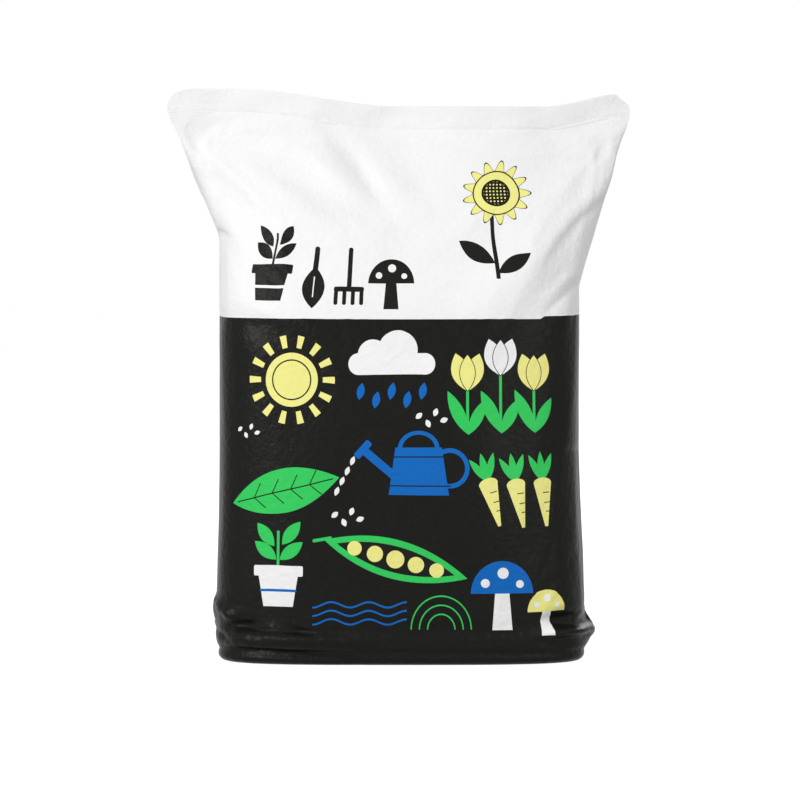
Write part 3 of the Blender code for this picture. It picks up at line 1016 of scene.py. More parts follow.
@dataclass(frozen=True)
class GardenPrint:
    """The plain garden motifs that are printed on the front.

    Each motif is a group of patches round its own middle.
    """

    line: float = 0.0007

    def sun(self) -> list[Patch]:
        """A disc with rays round it.

        Returns:
            The motif's patches, the lowest first.
        """
        return [
            Patch(Form.RAYS, Ink.YELLOW, (0, 0), (0.086, 0.086), 0, 14),
            Patch(Form.DISC, Ink.YELLOW, (0, 0), (0.052, 0.052)),
            Patch(Form.RING, Ink.BLACK, (0, 0), (0.038, 0.038), 0, self.line),
        ]

    def cloud(self) -> list[Patch]:
        """A cloud with drops under it.

        Returns:
            The motif's patches, the lowest first.
        """
        made = [
            Patch(Form.BLOCK, Ink.WHITE, (0, -0.007), (0.084, 0.020), 0, 0.0099),
            Patch(Form.DISC, Ink.WHITE, (-0.018, 0.001), (0.030, 0.030)),
            Patch(Form.DISC, Ink.WHITE, (0.006, 0.006), (0.038, 0.038)),
        ]
        for i in range(5):
            drop = (-0.030 + 0.015 * i, -0.032 - 0.008 * (i % 2))
            made.append(Patch(Form.LEAF, Ink.BLUE, drop, (0.016, 0.0075), 78))
        return made

    def tulip(self, stalk: float, ink: Ink) -> list[Patch]:
        """A tulip with its stalk and two leaves.

        Args:
            stalk: The stalk's length.
            ink: The petals' ink.

        Returns:
            The motif's patches, the lowest first.
        """
        return [
            Patch(Form.BLOCK, Ink.GREEN, (0, -stalk / 2), (0.0026, stalk), 0, 0.0012),
            Patch(Form.LEAF, Ink.GREEN, (-0.009, 0.018 - stalk), (0.044, 0.012), 116),
            Patch(Form.LEAF, Ink.GREEN, (0.009, 0.014 - stalk), (0.036, 0.011), 62),
            Patch(Form.LEAF, ink, (-0.0065, 0.003), (0.034, 0.017), 106),
            Patch(Form.LEAF, ink, (0.0065, 0.003), (0.034, 0.017), 74),
            Patch(Form.LEAF, Ink.BLACK, (0, 0.002), (0.034, 0.0155), 90),
            Patch(Form.LEAF, ink, (0, 0.002), (0.032, 0.0140), 90),
        ]

    def big_leaf(self, turn: float) -> list[Patch]:
        """A broad leaf with its ribs.

        Args:
            turn: Its turn in degrees.

        Returns:
            The motif's patches, the lowest first.
        """
        made = [
            Patch(Form.LEAF, Ink.GREEN, (0, 0), (0.112, 0.042), turn),
            Patch(Form.BLOCK, Ink.BLACK, (0, 0), (0.100, 0.0012), turn, 0.0005),
        ]
        cos, sin = math.cos(math.radians(turn)), math.sin(math.radians(turn))
        for i in range(4):
            along = -0.026 + 0.019 * i
            for side in (-1, 1):
                up = side * 0.0062
                rib = (along * cos - up * sin, along * sin + up * cos)
                made.append(Patch(
                    Form.BLOCK, Ink.BLACK, rib, (0.015, 0.0010), turn + side * 52, 0.0004))
        return made

    def watering_can(self) -> list[Patch]:
        """A can with its spout, its handle and drops that fall from it.

        Returns:
            The motif's patches, the lowest first.
        """
        made = [
            Patch(Form.RING, Ink.BLUE, (0.030, 0.003), (0.034, 0.034), 0, 0.0022),
            Patch(Form.BLOCK, Ink.BLUE, (-0.036, 0.006), (0.046, 0.008), 140, 0.003),
            Patch(Form.BLOCK, Ink.BLUE, (-0.054, 0.021), (0.020, 0.007), 48, 0.002),
            Patch(Form.ARCH, Ink.BLUE, (0, 0.022), (0.036, 0.030), 0, 0.0022),
            Patch(Form.TAPER, Ink.BLUE, (0, 0), (0.058, 0.046), 180, 0.78),
            Patch(Form.BLOCK, Ink.BLACK, (0, 0.014), (0.062, 0.0012), 0, 0.0005),
            Patch(Form.BLOCK, Ink.BLACK, (0, -0.014), (0.062, 0.0012), 0, 0.0005),
        ]
        for i in range(4):
            drop = (-0.064 - 0.005 * i, 0.010 - 0.010 * i)
            made.append(Patch(Form.LEAF, Ink.WHITE, drop, (0.0095, 0.0045), 70))
        return made

    def carrot(self, turn: float) -> list[Patch]:
        """A root with its green top.

        Args:
            turn: Its turn in degrees.

        Returns:
            The motif's patches, the lowest first.
        """
        up = (-math.sin(math.radians(turn)), math.cos(math.radians(turn)))
        made = []
        for lean in (-26, 0, 26):
            tip = math.radians(turn + lean)
            leaf = (0.024 * up[0] - 0.014 * math.sin(tip), 0.024 * up[1] + 0.014 * math.cos(tip))
            made.append(Patch(Form.LEAF, Ink.GREEN, leaf, (0.030, 0.0075), turn + lean + 90))
        top = (0.0215 * up[0], 0.0215 * up[1])
        made.append(Patch(Form.DISC, Ink.YELLOW, top, (0.0192, 0.011), turn))
        made.append(Patch(Form.TAPER, Ink.YELLOW, (0, 0), (0.0192, 0.044), turn, 0.16))
        for along, reach in ((0.012, 0.007), (0.002, 0.006), (-0.007, 0.0045)):
            ring = (along * up[0] + 0.003 * up[1], along * up[1] - 0.003 * up[0])
            made.append(Patch(Form.BLOCK, Ink.BLACK, ring, (reach, 0.0010), turn, 0.0004))
        return made

    def pea_pod(self, turn: float) -> list[Patch]:
        """An open pod with a row of peas.

        Args:
            turn: Its turn in degrees.

        Returns:
            The motif's patches, the lowest first.
        """
        cos, sin = math.cos(math.radians(turn)), math.sin(math.radians(turn))
        made = [
            Patch(Form.LEAF, Ink.GREEN, (0, 0), (0.136, 0.036), turn),
            Patch(Form.LEAF, Ink.BLACK, (0, 0), (0.112, 0.024), turn),
        ]
        for i in range(5):
            along, wide = 0.0195 * (i - 2), 0.0165 - 0.0016 * abs(i - 2)
            made.append(Patch(Form.DISC, Ink.YELLOW, (along * cos, along * sin), (wide, wide)))
        end = (-0.070 * cos, -0.070 * sin)
        made.append(Patch(Form.BLOCK, Ink.GREEN, end, (0.018, 0.003), turn + 24, 0.0012))
        return made

    def mushroom(self, cap: Ink, stalk: Ink) -> list[Patch]:
        """A mushroom with a spotted cap.

        Args:
            cap: The cap's ink.
            stalk: The stalk's ink.

        Returns:
            The motif's patches, the lowest first.
        """
        made = [
            Patch(Form.TAPER, stalk, (0, -0.021), (0.018, 0.034), 180, 0.7),
            Patch(Form.DOME, cap, (0, -0.006), (0.056, 0.060)),
        ]
        spots = ((-0.015, 0.004, 0.008), (0.001, 0.013, 0.010), (0.016, 0.003, 0.007))
        for across, up, wide in spots:
            made.append(Patch(Form.DISC, Ink.WHITE, (across, up), (wide, wide)))
        return made

    def plant_pot(self, ink: Ink, leaves: Ink, band: Ink) -> list[Patch]:
        """A pot with a young plant in it.

        Args:
            ink: The pot's ink.
            leaves: The plant's ink.
            band: The ink of the line round the pot.

        Returns:
            The motif's patches, the lowest first.
        """
        made = [Patch(Form.BLOCK, leaves, (0, 0.036), (0.0026, 0.038), 0, 0.0012)]
        for side, up, turn in ((-1, 0.036, 142), (1, 0.036, 38), (-1, 0.051, 128), (1, 0.053, 52)):
            made.append(Patch(Form.LEAF, leaves, (side * 0.0125, up), (0.028, 0.012), turn))
        made += [
            Patch(Form.TAPER, ink, (0, 0), (0.040, 0.034), 0, 0.72),
            Patch(Form.BLOCK, ink, (0, 0.017), (0.048, 0.010), 0, 0.0015),
            Patch(Form.BLOCK, band, (0, -0.002), (0.036, 0.0030), 0, 0.0012),
        ]
        return made

    def sunflower(self) -> list[Patch]:
        """A flower on a bent stalk, in pale ink with dark edges.

        Returns:
            The motif's patches, the lowest first.
        """
        return [
            Patch(Form.BLOCK, Ink.BLACK, (-0.003, -0.060), (0.0042, 0.082), 4, 0.002),
            Patch(Form.LEAF, Ink.BLACK, (-0.022, -0.066), (0.044, 0.018), 148),
            Patch(Form.LEAF, Ink.BLACK, (0.016, -0.078), (0.040, 0.016), 34),
            Patch(Form.FLOWER, Ink.BLACK, (0, 0), (0.0730, 0.0730), 0, 13),
            Patch(Form.FLOWER, Ink.YELLOW, (0, 0), (0.0700, 0.0700), 0, 13),
            Patch(Form.RING, Ink.BLACK, (0, 0), (0.0480, 0.0480), 0, self.line),
            Patch(Form.DISC, Ink.BLACK, (0, 0), (0.0300, 0.0300)),
            Patch(Form.DOTS, Ink.YELLOW, (0, 0), (0.0260, 0.0260), 0, 3.5),
        ]

    def trowel(self) -> list[Patch]:
        """A trowel with a slot in its blade.

        Returns:
            The motif's patches, the lowest first.
        """
        return [
            Patch(Form.BLOCK, Ink.BLACK, (0, 0.016), (0.0058, 0.030), 0, 0.0028),
            Patch(Form.LEAF, Ink.BLACK, (0, -0.012), (0.044, 0.024), 90),
            Patch(Form.BLOCK, Ink.WHITE, (0, -0.011), (0.0012, 0.022), 0, 0.0005),
        ]

    def rake(self) -> list[Patch]:
        """A small rake with four tines.

        Returns:
            The motif's patches, the lowest first.
        """
        made = [
            Patch(Form.BLOCK, Ink.BLACK, (0, 0.010), (0.0050, 0.044), 0, 0.0024),
            Patch(Form.BLOCK, Ink.BLACK, (0, -0.013), (0.032, 0.0054), 0, 0.002),
        ]
        for i in range(4):
            tine = (0.009 * i - 0.0135, -0.021)
            made.append(Patch(Form.BLOCK, Ink.BLACK, tine, (0.0042, 0.018), 0, 0.002))
        return made

    def waves(self, count: int) -> list[Patch]:
        """Waving lines, one over the other.

        Args:
            count: How many lines.

        Returns:
            The motif's patches, the lowest first.
        """
        return [
            Patch(Form.WAVE, Ink.BLUE, (0, -0.009 * i), (0.100, 0.0056), 0, 0.0010)
            for i in range(count)
        ]

    def arches(self, count: int) -> list[Patch]:
        """Thin arches, one in the other."""
        sizes = [(0.066 - 0.018 * i, 0.074 - 0.020 * i) for i in range(count)]
        return [Patch(Form.ARCH, Ink.GREEN, (0, 0), size, 0, self.line) for size in sizes]

    def seeds(self) -> list[Patch]:
        """Four scattered seeds.

        Returns:
            The motif's patches, the lowest first.
        """
        spots = (-0.014, 0.003, 40), (-0.003, -0.006, 115), (0.006, 0.007, 70), (0.016, -0.002, 20)
        size = (0.0100, 0.0062)
        return [Patch(Form.LEAF, Ink.WHITE, (x, z), size, turn) for x, z, turn in spots]

    def patches(self) -> list[Patch]:
        """Every patch of the front, in the order in which they are printed.

        Returns:
            The patches in their places, the lowest first.
        """
        motifs = (
            (self.sun(), -0.117, 0.301, 1.10),
            (self.cloud(), -0.008, 0.326, 1.12),
            (self.tulip(0.052, Ink.YELLOW), 0.074, 0.307, 1.16),
            (self.tulip(0.065, Ink.WHITE), 0.110, 0.322, 1.16),
            (self.tulip(0.051, Ink.YELLOW), 0.147, 0.306, 1.16),
            (self.big_leaf(14), -0.124, 0.184, 1.10),
            (self.watering_can(), 0.021, 0.206, 1.11),
            (self.carrot(14), 0.101, 0.170, 1.06),
            (self.carrot(9), 0.129, 0.168, 1.06),
            (self.carrot(4), 0.157, 0.169, 1.06),
            (self.pea_pod(-15), -0.004, 0.112, 1.15),
            (self.mushroom(Ink.BLUE, Ink.WHITE), 0.108, 0.082, 1.18),
            (self.mushroom(Ink.YELLOW, Ink.WHITE), 0.156, 0.060, 0.76),
            (self.plant_pot(Ink.WHITE, Ink.GREEN, Ink.BLUE), -0.129, 0.080, 1.12),
            (self.plant_pot(Ink.BLACK, Ink.BLACK, Ink.WHITE), -0.146, 0.402, 1.0),
            (self.trowel(), -0.096, 0.413, 1.05),
            (self.rake(), -0.056, 0.413, 1.05),
            (self.mushroom(Ink.BLACK, Ink.BLACK), -0.009, 0.412, 0.92),
            (self.sunflower(), 0.110, 0.512, 1.05),
            (self.waves(3), -0.042, 0.064, 1.0),
            (self.arches(3), 0.044, 0.038, 0.95),
            (self.seeds(), 0.034, 0.262, 0.9),
            (self.seeds(), -0.056, 0.156, 0.9),
            (self.seeds(), -0.166, 0.246, 0.7),
        )
        return [patch.placed(x, z, scale) for motif, x, z, scale in motifs for patch in motif]


@dataclass(frozen=True)
class FilmFinish:
    """Soft matte polyethylene film with its print."""

    name: str = "printed_film"
    print_edge: float = 0.3658
    step_from_to: Pair = (0.155, 0.162)
    step_rise: float = 0.0030
    fall_from_to: Pair = (0.168, 0.350)
    film_roughness: float = 0.40
    ink_roughness: float = 0.36
    grain_size: float = 0.0016
    lump_size: float = 0.0065
    cloud_size: float = 0.036
    specular: float = 0.09
    lump_strength: float = 0.90
    lump_height: float = 0.0012
    grain_strength: float = 0.22
    grain_height: float = 0.0002
    white_shade: float = 0.965
    black_shade: float = 0.45

    def material(self, patches: list[Patch]) -> bpy.types.Material:
        """The film's material, drawn on its UV map.

        Args:
            patches: What is printed, the lowest first.

        Returns:
            A material whose colour, roughness and bump come from its nodes.
        """
        made = bpy.data.materials.new(self.name)
        made.use_nodes = True
        shader = made.node_tree.nodes["Principled BSDF"].inputs
        plate = PrintPlate(made.node_tree)
        plate.film_map = plate.grouped(film_map_group()).outputs["Film"]
        dark = self.dark_field(plate)
        white = self.film_colour(plate, Ink.WHITE, self.white_shade, self.cloud_size)
        black = self.film_colour(plate, Ink.BLACK, self.black_shade, self.lump_size)
        plate.colour = plate.mixed(dark, white, black)
        for patch in patches:
            plate.lay(patch)
        plate.feed(shader["Base Color"], plate.colour)
        between = {"Value": dark, "To Min": self.film_roughness, "To Max": self.ink_roughness}
        plate.feed(shader["Roughness"], plate.node("ShaderNodeMapRange", between).outputs[0])
        shader["Specular IOR Level"].default_value = self.specular
        plate.feed(shader["Normal"], self.relief(plate))
        return made

    def dark_field(self, plate: PrintPlate) -> Socket:
        """Where the film is printed dark: up to an edge that steps up near the right side.

        Args:
            plate: The material's plate.

        Returns:
            The socket that is 1 where dark.
        """
        across = plate.along(plate.film_map, ACROSS)
        up = plate.along(plate.film_map, UP)
        rise = plate.change(across, self.step_from_to, 0.0, self.step_rise)
        fall = plate.change(across, self.fall_from_to, 1.0, 0.0)
        edge = plate.math("ADD", plate.math("MULTIPLY", rise, fall), self.print_edge)
        return plate.math("LESS_THAN", up, edge)

    def film_colour(self, plate: PrintPlate, ink: Ink, darker: float, size: float) -> Socket:
        """A colour that varies in soft patches of a size, as thin film does.

        Args:
            plate: The material's plate.
            ink: The lightest colour.
            darker: What the darkest keeps of it.
            size: How large the patches are.

        Returns:
            The socket that carries the colour.
        """
        place = plate.node("ShaderNodeTexCoord").outputs["Object"]
        mottle = plate.noise(place, size, detail=4.0)
        shade = tuple(part * darker for part in ink.value) + (1.0,)
        return plate.mixed(mottle, ink.rgba, shade)

    def relief(self, plate: PrintPlate) -> Socket:
        """The film's fine grain, and the lumps of compost that press through it.

        Args:
            plate: The material's plate.

        Returns:
            The socket that carries the normal.
        """
        place = plate.node("ShaderNodeTexCoord").outputs["Object"]
        lumps = plate.noise(place, self.lump_size, detail=3.0, rough=0.55)
        grain = plate.noise(place, self.grain_size, detail=2.0)
        coarse = plate.node("ShaderNodeBump", {
            "Strength": self.lump_strength, "Distance": self.lump_height, "Height": lumps})
        fine = plate.node("ShaderNodeBump", {
            "Strength": self.grain_strength, "Distance": self.grain_height, "Height": grain,
            "Normal": coarse.outputs[0]})
        return fine.outputs[0]


RIPPLE_SCALES = (34, 34, 34)
FINE_SCALES, FINE_SHIFT = (90, 90, 60), 7
CRUMPLE_SCALES, CRUMPLE_SHIFT = (26, 34), 3.0

CLOTH_RULES = {
    "quality": 6,
    "mass": 0.02,
    "tension_stiffness": 80.0,
    "compression_stiffness": 80.0,
    "shear_stiffness": 30.0,
    "bending_model": "ANGULAR",
    "bending_stiffness": 0.5,
    "tension_damping": 15.0,
    "compression_damping": 15.0,
    "shear_damping": 15.0,
    "air_damping": 4.0,
}


@dataclass
class CompostBag:
    """The whole bag: the film tube, shaped, settled and finished.

    Sizes are in metres. The rows are spaced more closely at the base and at the weld, and a
    pair of numbers for the compost holds across the bag and through it.
    """

    form: FilmForm = field(default_factory=FilmForm)
    quarter_columns: int = 46
    base_zone: float = 0.075
    base_rows: int = 28
    body_rows: int = 38
    head_rows: int = 45
    strip_rows: int = 6
    weld_rows: tuple[float, ...] = (-0.0045, -0.0028, -0.0012, 0.0, 0.0012, 0.0028)
    weld_start: float = 0.0065
    weld_end: float = 0.0055
    base_rings: tuple[float, ...] = (0.06, 0.30, 0.62, 0.88)
    settle_frames: int = 16
    settle_slack: float = 0.006
    settle_reach: float = 0.0028
    settle_gap: float = 0.0012
    held_foot: float = 0.009
    held_seal: float = 0.0030
    foot_fade: float = 0.030
    seal_fade: float = 0.050
    side_hold: float = 0.35
    compost_foot: float = 0.002
    compost_top: float = 0.014
    compost_rows: int = 46
    compost_columns: int = 16
    compost_skin: float = 0.001
    compost_friction: float = 8.0
    compost_gap: float = 0.004
    compost_half: Pair = (0.19, 0.085)
    compost_slack: Pair = (0.06, 0.22)
    slack_start: float = 0.34
    slack_run: float = 0.20
    groove: float = 0.00045
    groove_reach: float = 0.0026
    ripple: float = 0.0006
    fine_ripple: float = 0.00020
    slack_from: float = 0.37
    slack_over: float = 0.10
    packed_to: float = 0.30
    packed_over: float = 0.12
    ripple_end: float = 0.02
    ripple_foot: float = 0.02
    packed_share: float = 0.25
    back_share: float = 0.3
    crumple: float = 0.0026
    crumple_start: float = 0.014
    crumple_run: float = 0.022
    ear_curl: float = 0.0035
    ear_place: float = 0.205
    ear_span: float = 0.055
    sharp_angle: float = 70.0

    def row_heights(self) -> np.ndarray:
        """Height along the film of each row, closer together where it is creased.

        Returns:
            The heights, from the base up.
        """
        form = self.form
        turns = np.linspace(0, math.pi / 2, 5)[:-1]
        rolling = form.base_radius * (1 - np.cos(turns))
        seal, strip = form.seal_line, form.seal_strip
        return np.concatenate([
            rolling,
            np.linspace(form.base_radius, self.base_zone, self.base_rows)[:-1],
            np.linspace(self.base_zone, form.shoulder, self.body_rows)[:-1],
            np.linspace(form.shoulder, seal - self.weld_start, self.head_rows),
            seal + np.array(self.weld_rows),
            np.linspace(seal + self.weld_end, seal + strip, self.strip_rows),
        ])

    def tube(self, heights: np.ndarray, points: np.ndarray) -> bmesh.types.BMesh:
        """A flat sheet of film, wrapped to the points and joined up behind.

        Args:
            heights: Height along the film of each row.
            points: Where every row and column lies.

        Returns:
            A bmesh with the film's coordinates in its UV map and in two attributes.
        """
        rows, columns = points.shape[:2]
        film = bmesh.new()
        bmesh.ops.create_grid(film, x_segments=columns, y_segments=rows - 1, size=0.5)
        across = film.verts.layers.float.new("film_across")
        up = film.verts.layers.float.new("film_up")
        width = 2 * self.form.seal_width
        for vert in film.verts:
            row = round((vert.co.y + 0.5) * (rows - 1))
            column = round((vert.co.x + 0.5) * columns)
            vert[across] = vert.co.x * width
            vert[up] = heights[row]
            vert.co = points[row, column % columns]
        flat = film.loops.layers.uv.new("film")
        for face in film.faces:
            for loop in face.loops:
                loop[flat].uv = (loop.vert[across], loop.vert[up])
        bmesh.ops.remove_doubles(film, verts=film.verts, dist=1e-6)
        return film

    def with_base(self, heights: np.ndarray, points: np.ndarray) -> tuple[np.ndarray, np.ndarray]:
        """Adds rows that run in under the bag.

        Args:
            heights: Height along the film of each row.
            points: Where every row and column lies.

        Returns:
            Both with the base's rows in front; their heights along the film are below zero.
        """
        shares = np.array(self.base_rings)
        foot = points[0]
        middle = np.array([foot[:, 0].mean(), foot[:, 1].mean(), foot[:, 2].min()])
        rings = foot[None] * shares[:, None, None] + middle * (1 - shares[:, None, None])
        below = -(1 - shares) * self.form.body_depth / 2
        return np.concatenate([below, heights]), np.concatenate([rings, points])

    def close_ends(self, film: bmesh.types.BMesh) -> None:
        """Closes the middle of the base and the narrow top edge.

        Args:
            film: The open tube.
        """
        rim = [edge for edge in film.edges if edge.is_boundary]
        caps = bmesh.ops.holes_fill(film, edges=rim, sides=0)["faces"]
        bmesh.ops.triangulate(film, faces=caps, ngon_method="BEAUTY")

    def packed_compost(self) -> bpy.types.Object:
        """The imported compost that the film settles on, only there for the simulation.

        Returns:
            A body that the cloth collides with.
        """
        top = self.form.seal_line - self.compost_top
        heights = np.linspace(self.compost_foot, top, self.compost_rows)
        points = self.form.points(heights, self.compost_columns)
        middle = points.mean(1)[:, None, 1]
        slack = eased((heights - self.slack_start) / self.slack_run)
        across, through = [
            (1 - self.compost_gap / half - loose * slack)[:, None]
            for half, loose in zip(self.compost_half, self.compost_slack)]
        points[..., 1] = middle + (points[..., 1] - middle) * through
        points[..., 0] *= across
        film = self.tube(heights, points)
        self.close_ends(film)
        bmesh.ops.recalc_face_normals(film, faces=film.faces)
        compost = mesh_object("packed_compost", film)
        compost.modifiers.new("Collision", "COLLISION")
        compost.collision.thickness_outer = self.compost_skin
        compost.collision.cloth_friction = self.compost_friction
        return compost

    def settle(self, film: bpy.types.Object) -> None:
        """Lets the film buckle a little over the compost, and keeps the result.

        Args:
            film: The film tube, with its rows' heights in an attribute.
        """
        mesh = film.data
        up = read(mesh.attributes["film_up"].data, "value")
        held = np.nonzero((up < self.held_foot) | (up > self.form.seal_line - self.held_seal))[0]
        pins = film.vertex_groups.new(name="held")
        pins.add([int(i) for i in held], 1.0, "REPLACE")
        compost = self.packed_compost()
        cloth = film.modifiers.new("Cloth", "CLOTH")
        rules = cloth.settings
        for name, value in CLOTH_RULES.items():
            setattr(rules, name, value)
        rules.vertex_group_mass = pins.name
        rules.shrink_min = -self.settle_slack
        rules.effector_weights.gravity = 0.0
        cloth.collision_settings.distance_min = self.settle_gap
        cloth.point_cache.frame_start, cloth.point_cache.frame_end = 1, self.settle_frames
        scene = bpy.context.scene
        scene.frame_start, scene.frame_end = 1, self.settle_frames
        start = self.places(mesh)
        for frame_number in range(1, self.settle_frames + 1):
            scene.frame_set(frame_number)
        seen = film.evaluated_get(bpy.context.evaluated_depsgraph_get())
        moved = self.places(seen.data) - start
        film.modifiers.remove(cloth)
        film.vertex_groups.clear()
        bpy.data.objects.remove(compost)
        scene.frame_set(1)
        free = eased((self.form.seal_line - up) / self.seal_fade) * eased(up / self.foot_fade)
        moved *= free[:, None]
        moved[:, 0] *= self.side_hold
        length = np.linalg.norm(moved, axis=1, keepdims=True)
        capped = np.minimum(1.0, self.settle_reach / np.maximum(length, 1e-9))
        self.place(mesh, start + moved * capped)
        LOG.info("film settled: moved up to %.1f mm", float(length.max()) * 1000)

    @staticmethod
    def places(mesh: bpy.types.Mesh) -> np.ndarray:
        """The mesh's points as an array."""
        return read(mesh.vertices, "co", 3).astype(float)

    @staticmethod
    def place(mesh: bpy.types.Mesh, points: np.ndarray) -> None:
        """Moves the mesh's points."""
        mesh.vertices.foreach_set("co", points.astype(np.float32).reshape(-1))
        mesh.update()

    def refine(self, film: bpy.types.Object) -> None:
        """Subdivides the film once and keeps the result.

        Args:
            film: The settled film.
        """
        smooth = film.modifiers.new("Subdivision", "SUBSURF")
        smooth.levels = smooth.render_levels = 1
        smooth.uv_smooth = "NONE"
        seen = film.evaluated_get(bpy.context.evaluated_depsgraph_get())
        fine = bpy.data.meshes.new_from_object(seen, preserve_all_data_layers=True,
                                               depsgraph=bpy.context.evaluated_depsgraph_get())
        film.modifiers.clear()
        coarse = film.data
        film.data = fine
        bpy.data.meshes.remove(coarse)
        fine.name = film.name

    def crease(self, film: bpy.types.Object) -> None:
        """Presses the weld line and small wrinkles into the fine film.

        Args:
            film: The fine film.
        """
        mesh = film.data
        up = read(mesh.attributes["film_up"].data, "value")
        normals = read(mesh.vertex_normals, "vector", 3)
        points = self.places(mesh)
        seal = self.form.seal_line
        weld = -self.groove * bell(up - seal, self.groove_reach)
        ripple = noise_at(points, RIPPLE_SCALES)
        fine_ripple = noise_at(points, FINE_SCALES, FINE_SHIFT)
        end, foot = self.ripple_end, self.ripple_foot
        slack = eased((up - self.slack_from) / self.slack_over)
        slack = slack * (1 - eased((up - seal + end) / end))
        packed = self.packed_share * (1 - eased((up - self.packed_to) / self.packed_over))
        packed = packed * eased(up / foot)
        push = weld + (self.ripple * slack + self.ripple * packed) * ripple
        push = push + self.fine_ripple * slack * fine_ripple
        x, z, front = points[:, 0], points[:, 2], points[:, 1] < 0
        for fold in FINE_CREASES:
            push += np.where(front, fold.relief(x, z), self.back_share * fold.relief(-x, z))
        moved = points + normals * push[:, None]
        moved[:, 1] += self.strip_crumple(x, up)
        self.place(mesh, moved)

    def strip_crumple(self, x: np.ndarray, up: np.ndarray) -> np.ndarray:
        """How far the two welded layers bend back and forth together.

        Args:
            x: Places across the bag.
            up: Heights along the film.

        Returns:
            The way back of each point, in metres.
        """
        form = self.form
        share = eased((up - (form.seal_line - self.crumple_start)) / self.crumple_run)
        along, rise = CRUMPLE_SCALES
        bends = np.array([
            noise.noise(Vector((place * along, height * rise, CRUMPLE_SHIFT)))
            if part > 0 else 0.0
            for place, height, part in zip(x, up, share)])
        curl = bell(x - self.ear_place, self.ear_span)
        curl = curl * eased((up - form.seal_line) / form.seal_strip)
        return share * self.crumple * bends - self.ear_curl * curl

    def seat(self, film: bpy.types.Object) -> None:
        """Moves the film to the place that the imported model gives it.

        Args:
            film: The creased film.
        """
        low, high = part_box(BAG_NODE)
        points = self.places(film.data)
        shift = (np.array(low) + np.array(high)) / 2 - (points.min(0) + points.max(0)) / 2
        shift[2] = low[2] - points[:, 2].min()
        self.place(film.data, points + shift)

    def build(self) -> bpy.types.Object:
        """Makes the film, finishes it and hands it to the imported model.

        Returns:
            The finished film.
        """
        heights = self.row_heights()
        points = self.form.points(heights, self.quarter_columns)
        sheet = self.tube(*self.with_base(heights, points))
        self.close_ends(sheet)
        bmesh.ops.recalc_face_normals(sheet, faces=sheet.faces)
        film = mesh_object("bag_film", sheet)
        self.settle(film)
        self.refine(film)
        self.crease(film)
        self.seat(film)
        film.data.shade_smooth()
        film.data.set_sharp_from_angle(angle=math.radians(self.sharp_angle))
        self.dress(film)
        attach(film, "root")
        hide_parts(BAG_NODE)
        return film

    def dress(self, film: bpy.types.Object) -> None:
        """Gives the film its finish: plain all round, and printed in each zone of the front.

        Args:
            film: The finished shape, with its UV map.
        """
        mesh = film.data
        finish, patches = FilmFinish(), GardenPrint().patches()
        mesh.materials.clear()
        mesh.materials.append(finish.material([]))
        first = np.zeros(len(mesh.polygons), np.int32)
        mesh.polygons.foreach_get("loop_start", first)
        places = read(mesh.uv_layers["film"].data, "uv", 2)[first]
        index = np.zeros(len(mesh.polygons), np.int32)
        for number, zone in enumerate(ZONES, 1):
            mesh.materials.append(finish.material([p for p in patches if zone.touches(p)]))
            index[zone.holds(places[:, 0], places[:, 1])] = number
        mesh.polygons.foreach_set("material_index", index)


@dataclass(frozen=True)
class Lamp:
    """A soft lamp that looks at a point."""

    name: str
    place: Triple
    target: Triple
    size: float
    power: float

    def build(self) -> bpy.types.Object:
        """The lamp in the scene.

        Returns:
            The lamp.
        """
        light = bpy.data.lights.new(self.name, "AREA")
        light.energy = self.power
        light.shape = "DISK"
        light.size = self.size
        made = in_scene(self.name, light)
        place = Vector(self.place)
        aim(made, place, Vector(self.target) - place)
        return made


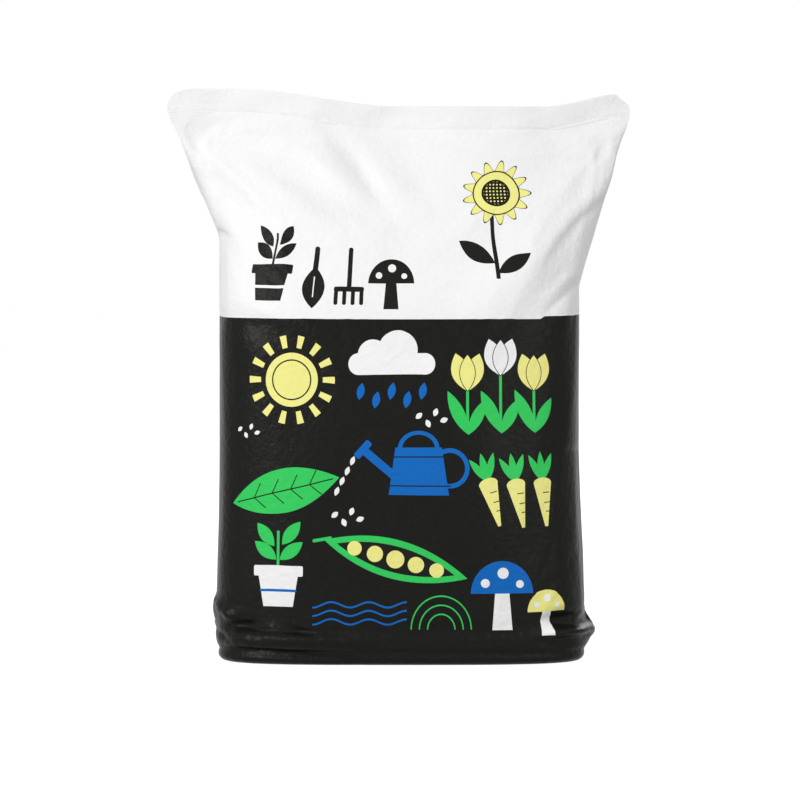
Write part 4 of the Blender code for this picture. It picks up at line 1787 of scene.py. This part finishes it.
@dataclass(frozen=True)
class Studio:
    """A plain white studio with soft lamps and a camera in front of the bag."""

    metres_per_pixel: float = 0.001077
    image_width: int = 800
    lift: float = 3.5
    distance: float = 4.0
    middle: Pair = (0.001, 0.2775)
    floor_size: float = 14.0
    floor_colour: tuple[float, ...] = (0.28, 0.28, 0.28, 1)
    floor_roughness: float = 0.9
    floor_glow: float = 0.90
    world_light: float = 0.53
    lamps: tuple[Lamp, ...] = (
        Lamp("key_lamp", (-1.75, -2.1, 1.2), (0.0, 0.0, 0.34), 0.8, 42.0),
        Lamp("back_lamp", (0.4, 2.8, 1.6), (0.0, 0.0, 0.34), 1.6, 26.0),
        Lamp("fill_lamp", (1.5, -2.3, 0.9), (0.0, 0.0, 0.34), 1.4, 17.0),
    )

    def white_for_camera(self, bench: NodeBench) -> Socket:
        """1 for what the camera sees directly, in a mirror or through glass.

        Args:
            bench: The tree to build in.

        Returns:
            The socket that carries it.
        """
        path = bench.node("ShaderNodeLightPath").outputs
        seen = path["Is Camera Ray"]
        for name in ("Is Glossy Ray", "Is Transmission Ray"):
            seen = bench.math("MAXIMUM", seen, path[name])
        return seen

    def floor(self) -> bpy.types.Object:
        """A white floor that keeps the bag's soft shadow.

        Returns:
            The floor, which isn't part of the bag.
        """
        sheet = bmesh.new()
        bmesh.ops.create_grid(sheet, x_segments=2, y_segments=2, size=self.floor_size / 2)
        made = mesh_object("studio_floor", sheet)
        finish = bpy.data.materials.new("studio_floor")
        finish.use_nodes = True
        bench = NodeBench(finish.node_tree)
        shader = finish.node_tree.nodes["Principled BSDF"].inputs
        shader["Base Color"].default_value = self.floor_colour
        shader["Roughness"].default_value = self.floor_roughness
        shader["Emission Color"].default_value = (1, 1, 1, 1)
        glow = bench.math("MULTIPLY", self.white_for_camera(bench), self.floor_glow)
        bench.feed(shader["Emission Strength"], glow)
        made.data.materials.append(finish)
        return made

    def world(self) -> None:
        """White for the camera and a plain soft light for the object."""
        world = bpy.data.worlds.new("studio_world")
        bpy.context.scene.world = world
        world.use_nodes = True
        bench = NodeBench(world.node_tree)
        background = world.node_tree.nodes["Background"].inputs
        background["Color"].default_value = (1, 1, 1, 1)
        white = self.white_for_camera(bench)
        light = {"Value": white, "To Min": self.world_light, "To Max": 1.0}
        bench.feed(background["Strength"], bench.node("ShaderNodeMapRange", light).outputs[0])

    def camera(self) -> bpy.types.Object:
        """The camera, level with the bag's upper half and looking slightly down.

        Returns:
            The camera, already the scene's own.
        """
        data = bpy.data.cameras.new("front_camera")
        data.lens = data.sensor_width * self.distance / (self.metres_per_pixel * self.image_width)
        made = in_scene("front_camera", data)
        lift = math.radians(self.lift)
        back = Vector((0, -math.cos(lift), math.sin(lift)))
        aim(made, Vector((self.middle[0], 0, self.middle[1])) + back * self.distance, -back)
        bpy.context.scene.camera = made
        return made

    def build(self) -> None:
        """Sets up the floor, the light and the camera."""
        self.floor()
        self.world()
        for lamp in self.lamps:
            lamp.build()
        self.camera()
        bpy.context.scene.view_settings.view_transform = "Standard"


def main() -> None:
    """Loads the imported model, builds the bag and its studio, and reports each piece."""
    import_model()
    film = CompostBag().build()
    LOG.info("%s: %d faces", film.name, len(film.data.polygons))
    Studio().build()
    LOG.info("studio: floor, lamps and camera")


if __name__ == "__main__":
    logging.basicConfig(level=logging.INFO, format="%(name)s: %(message)s")
    main()
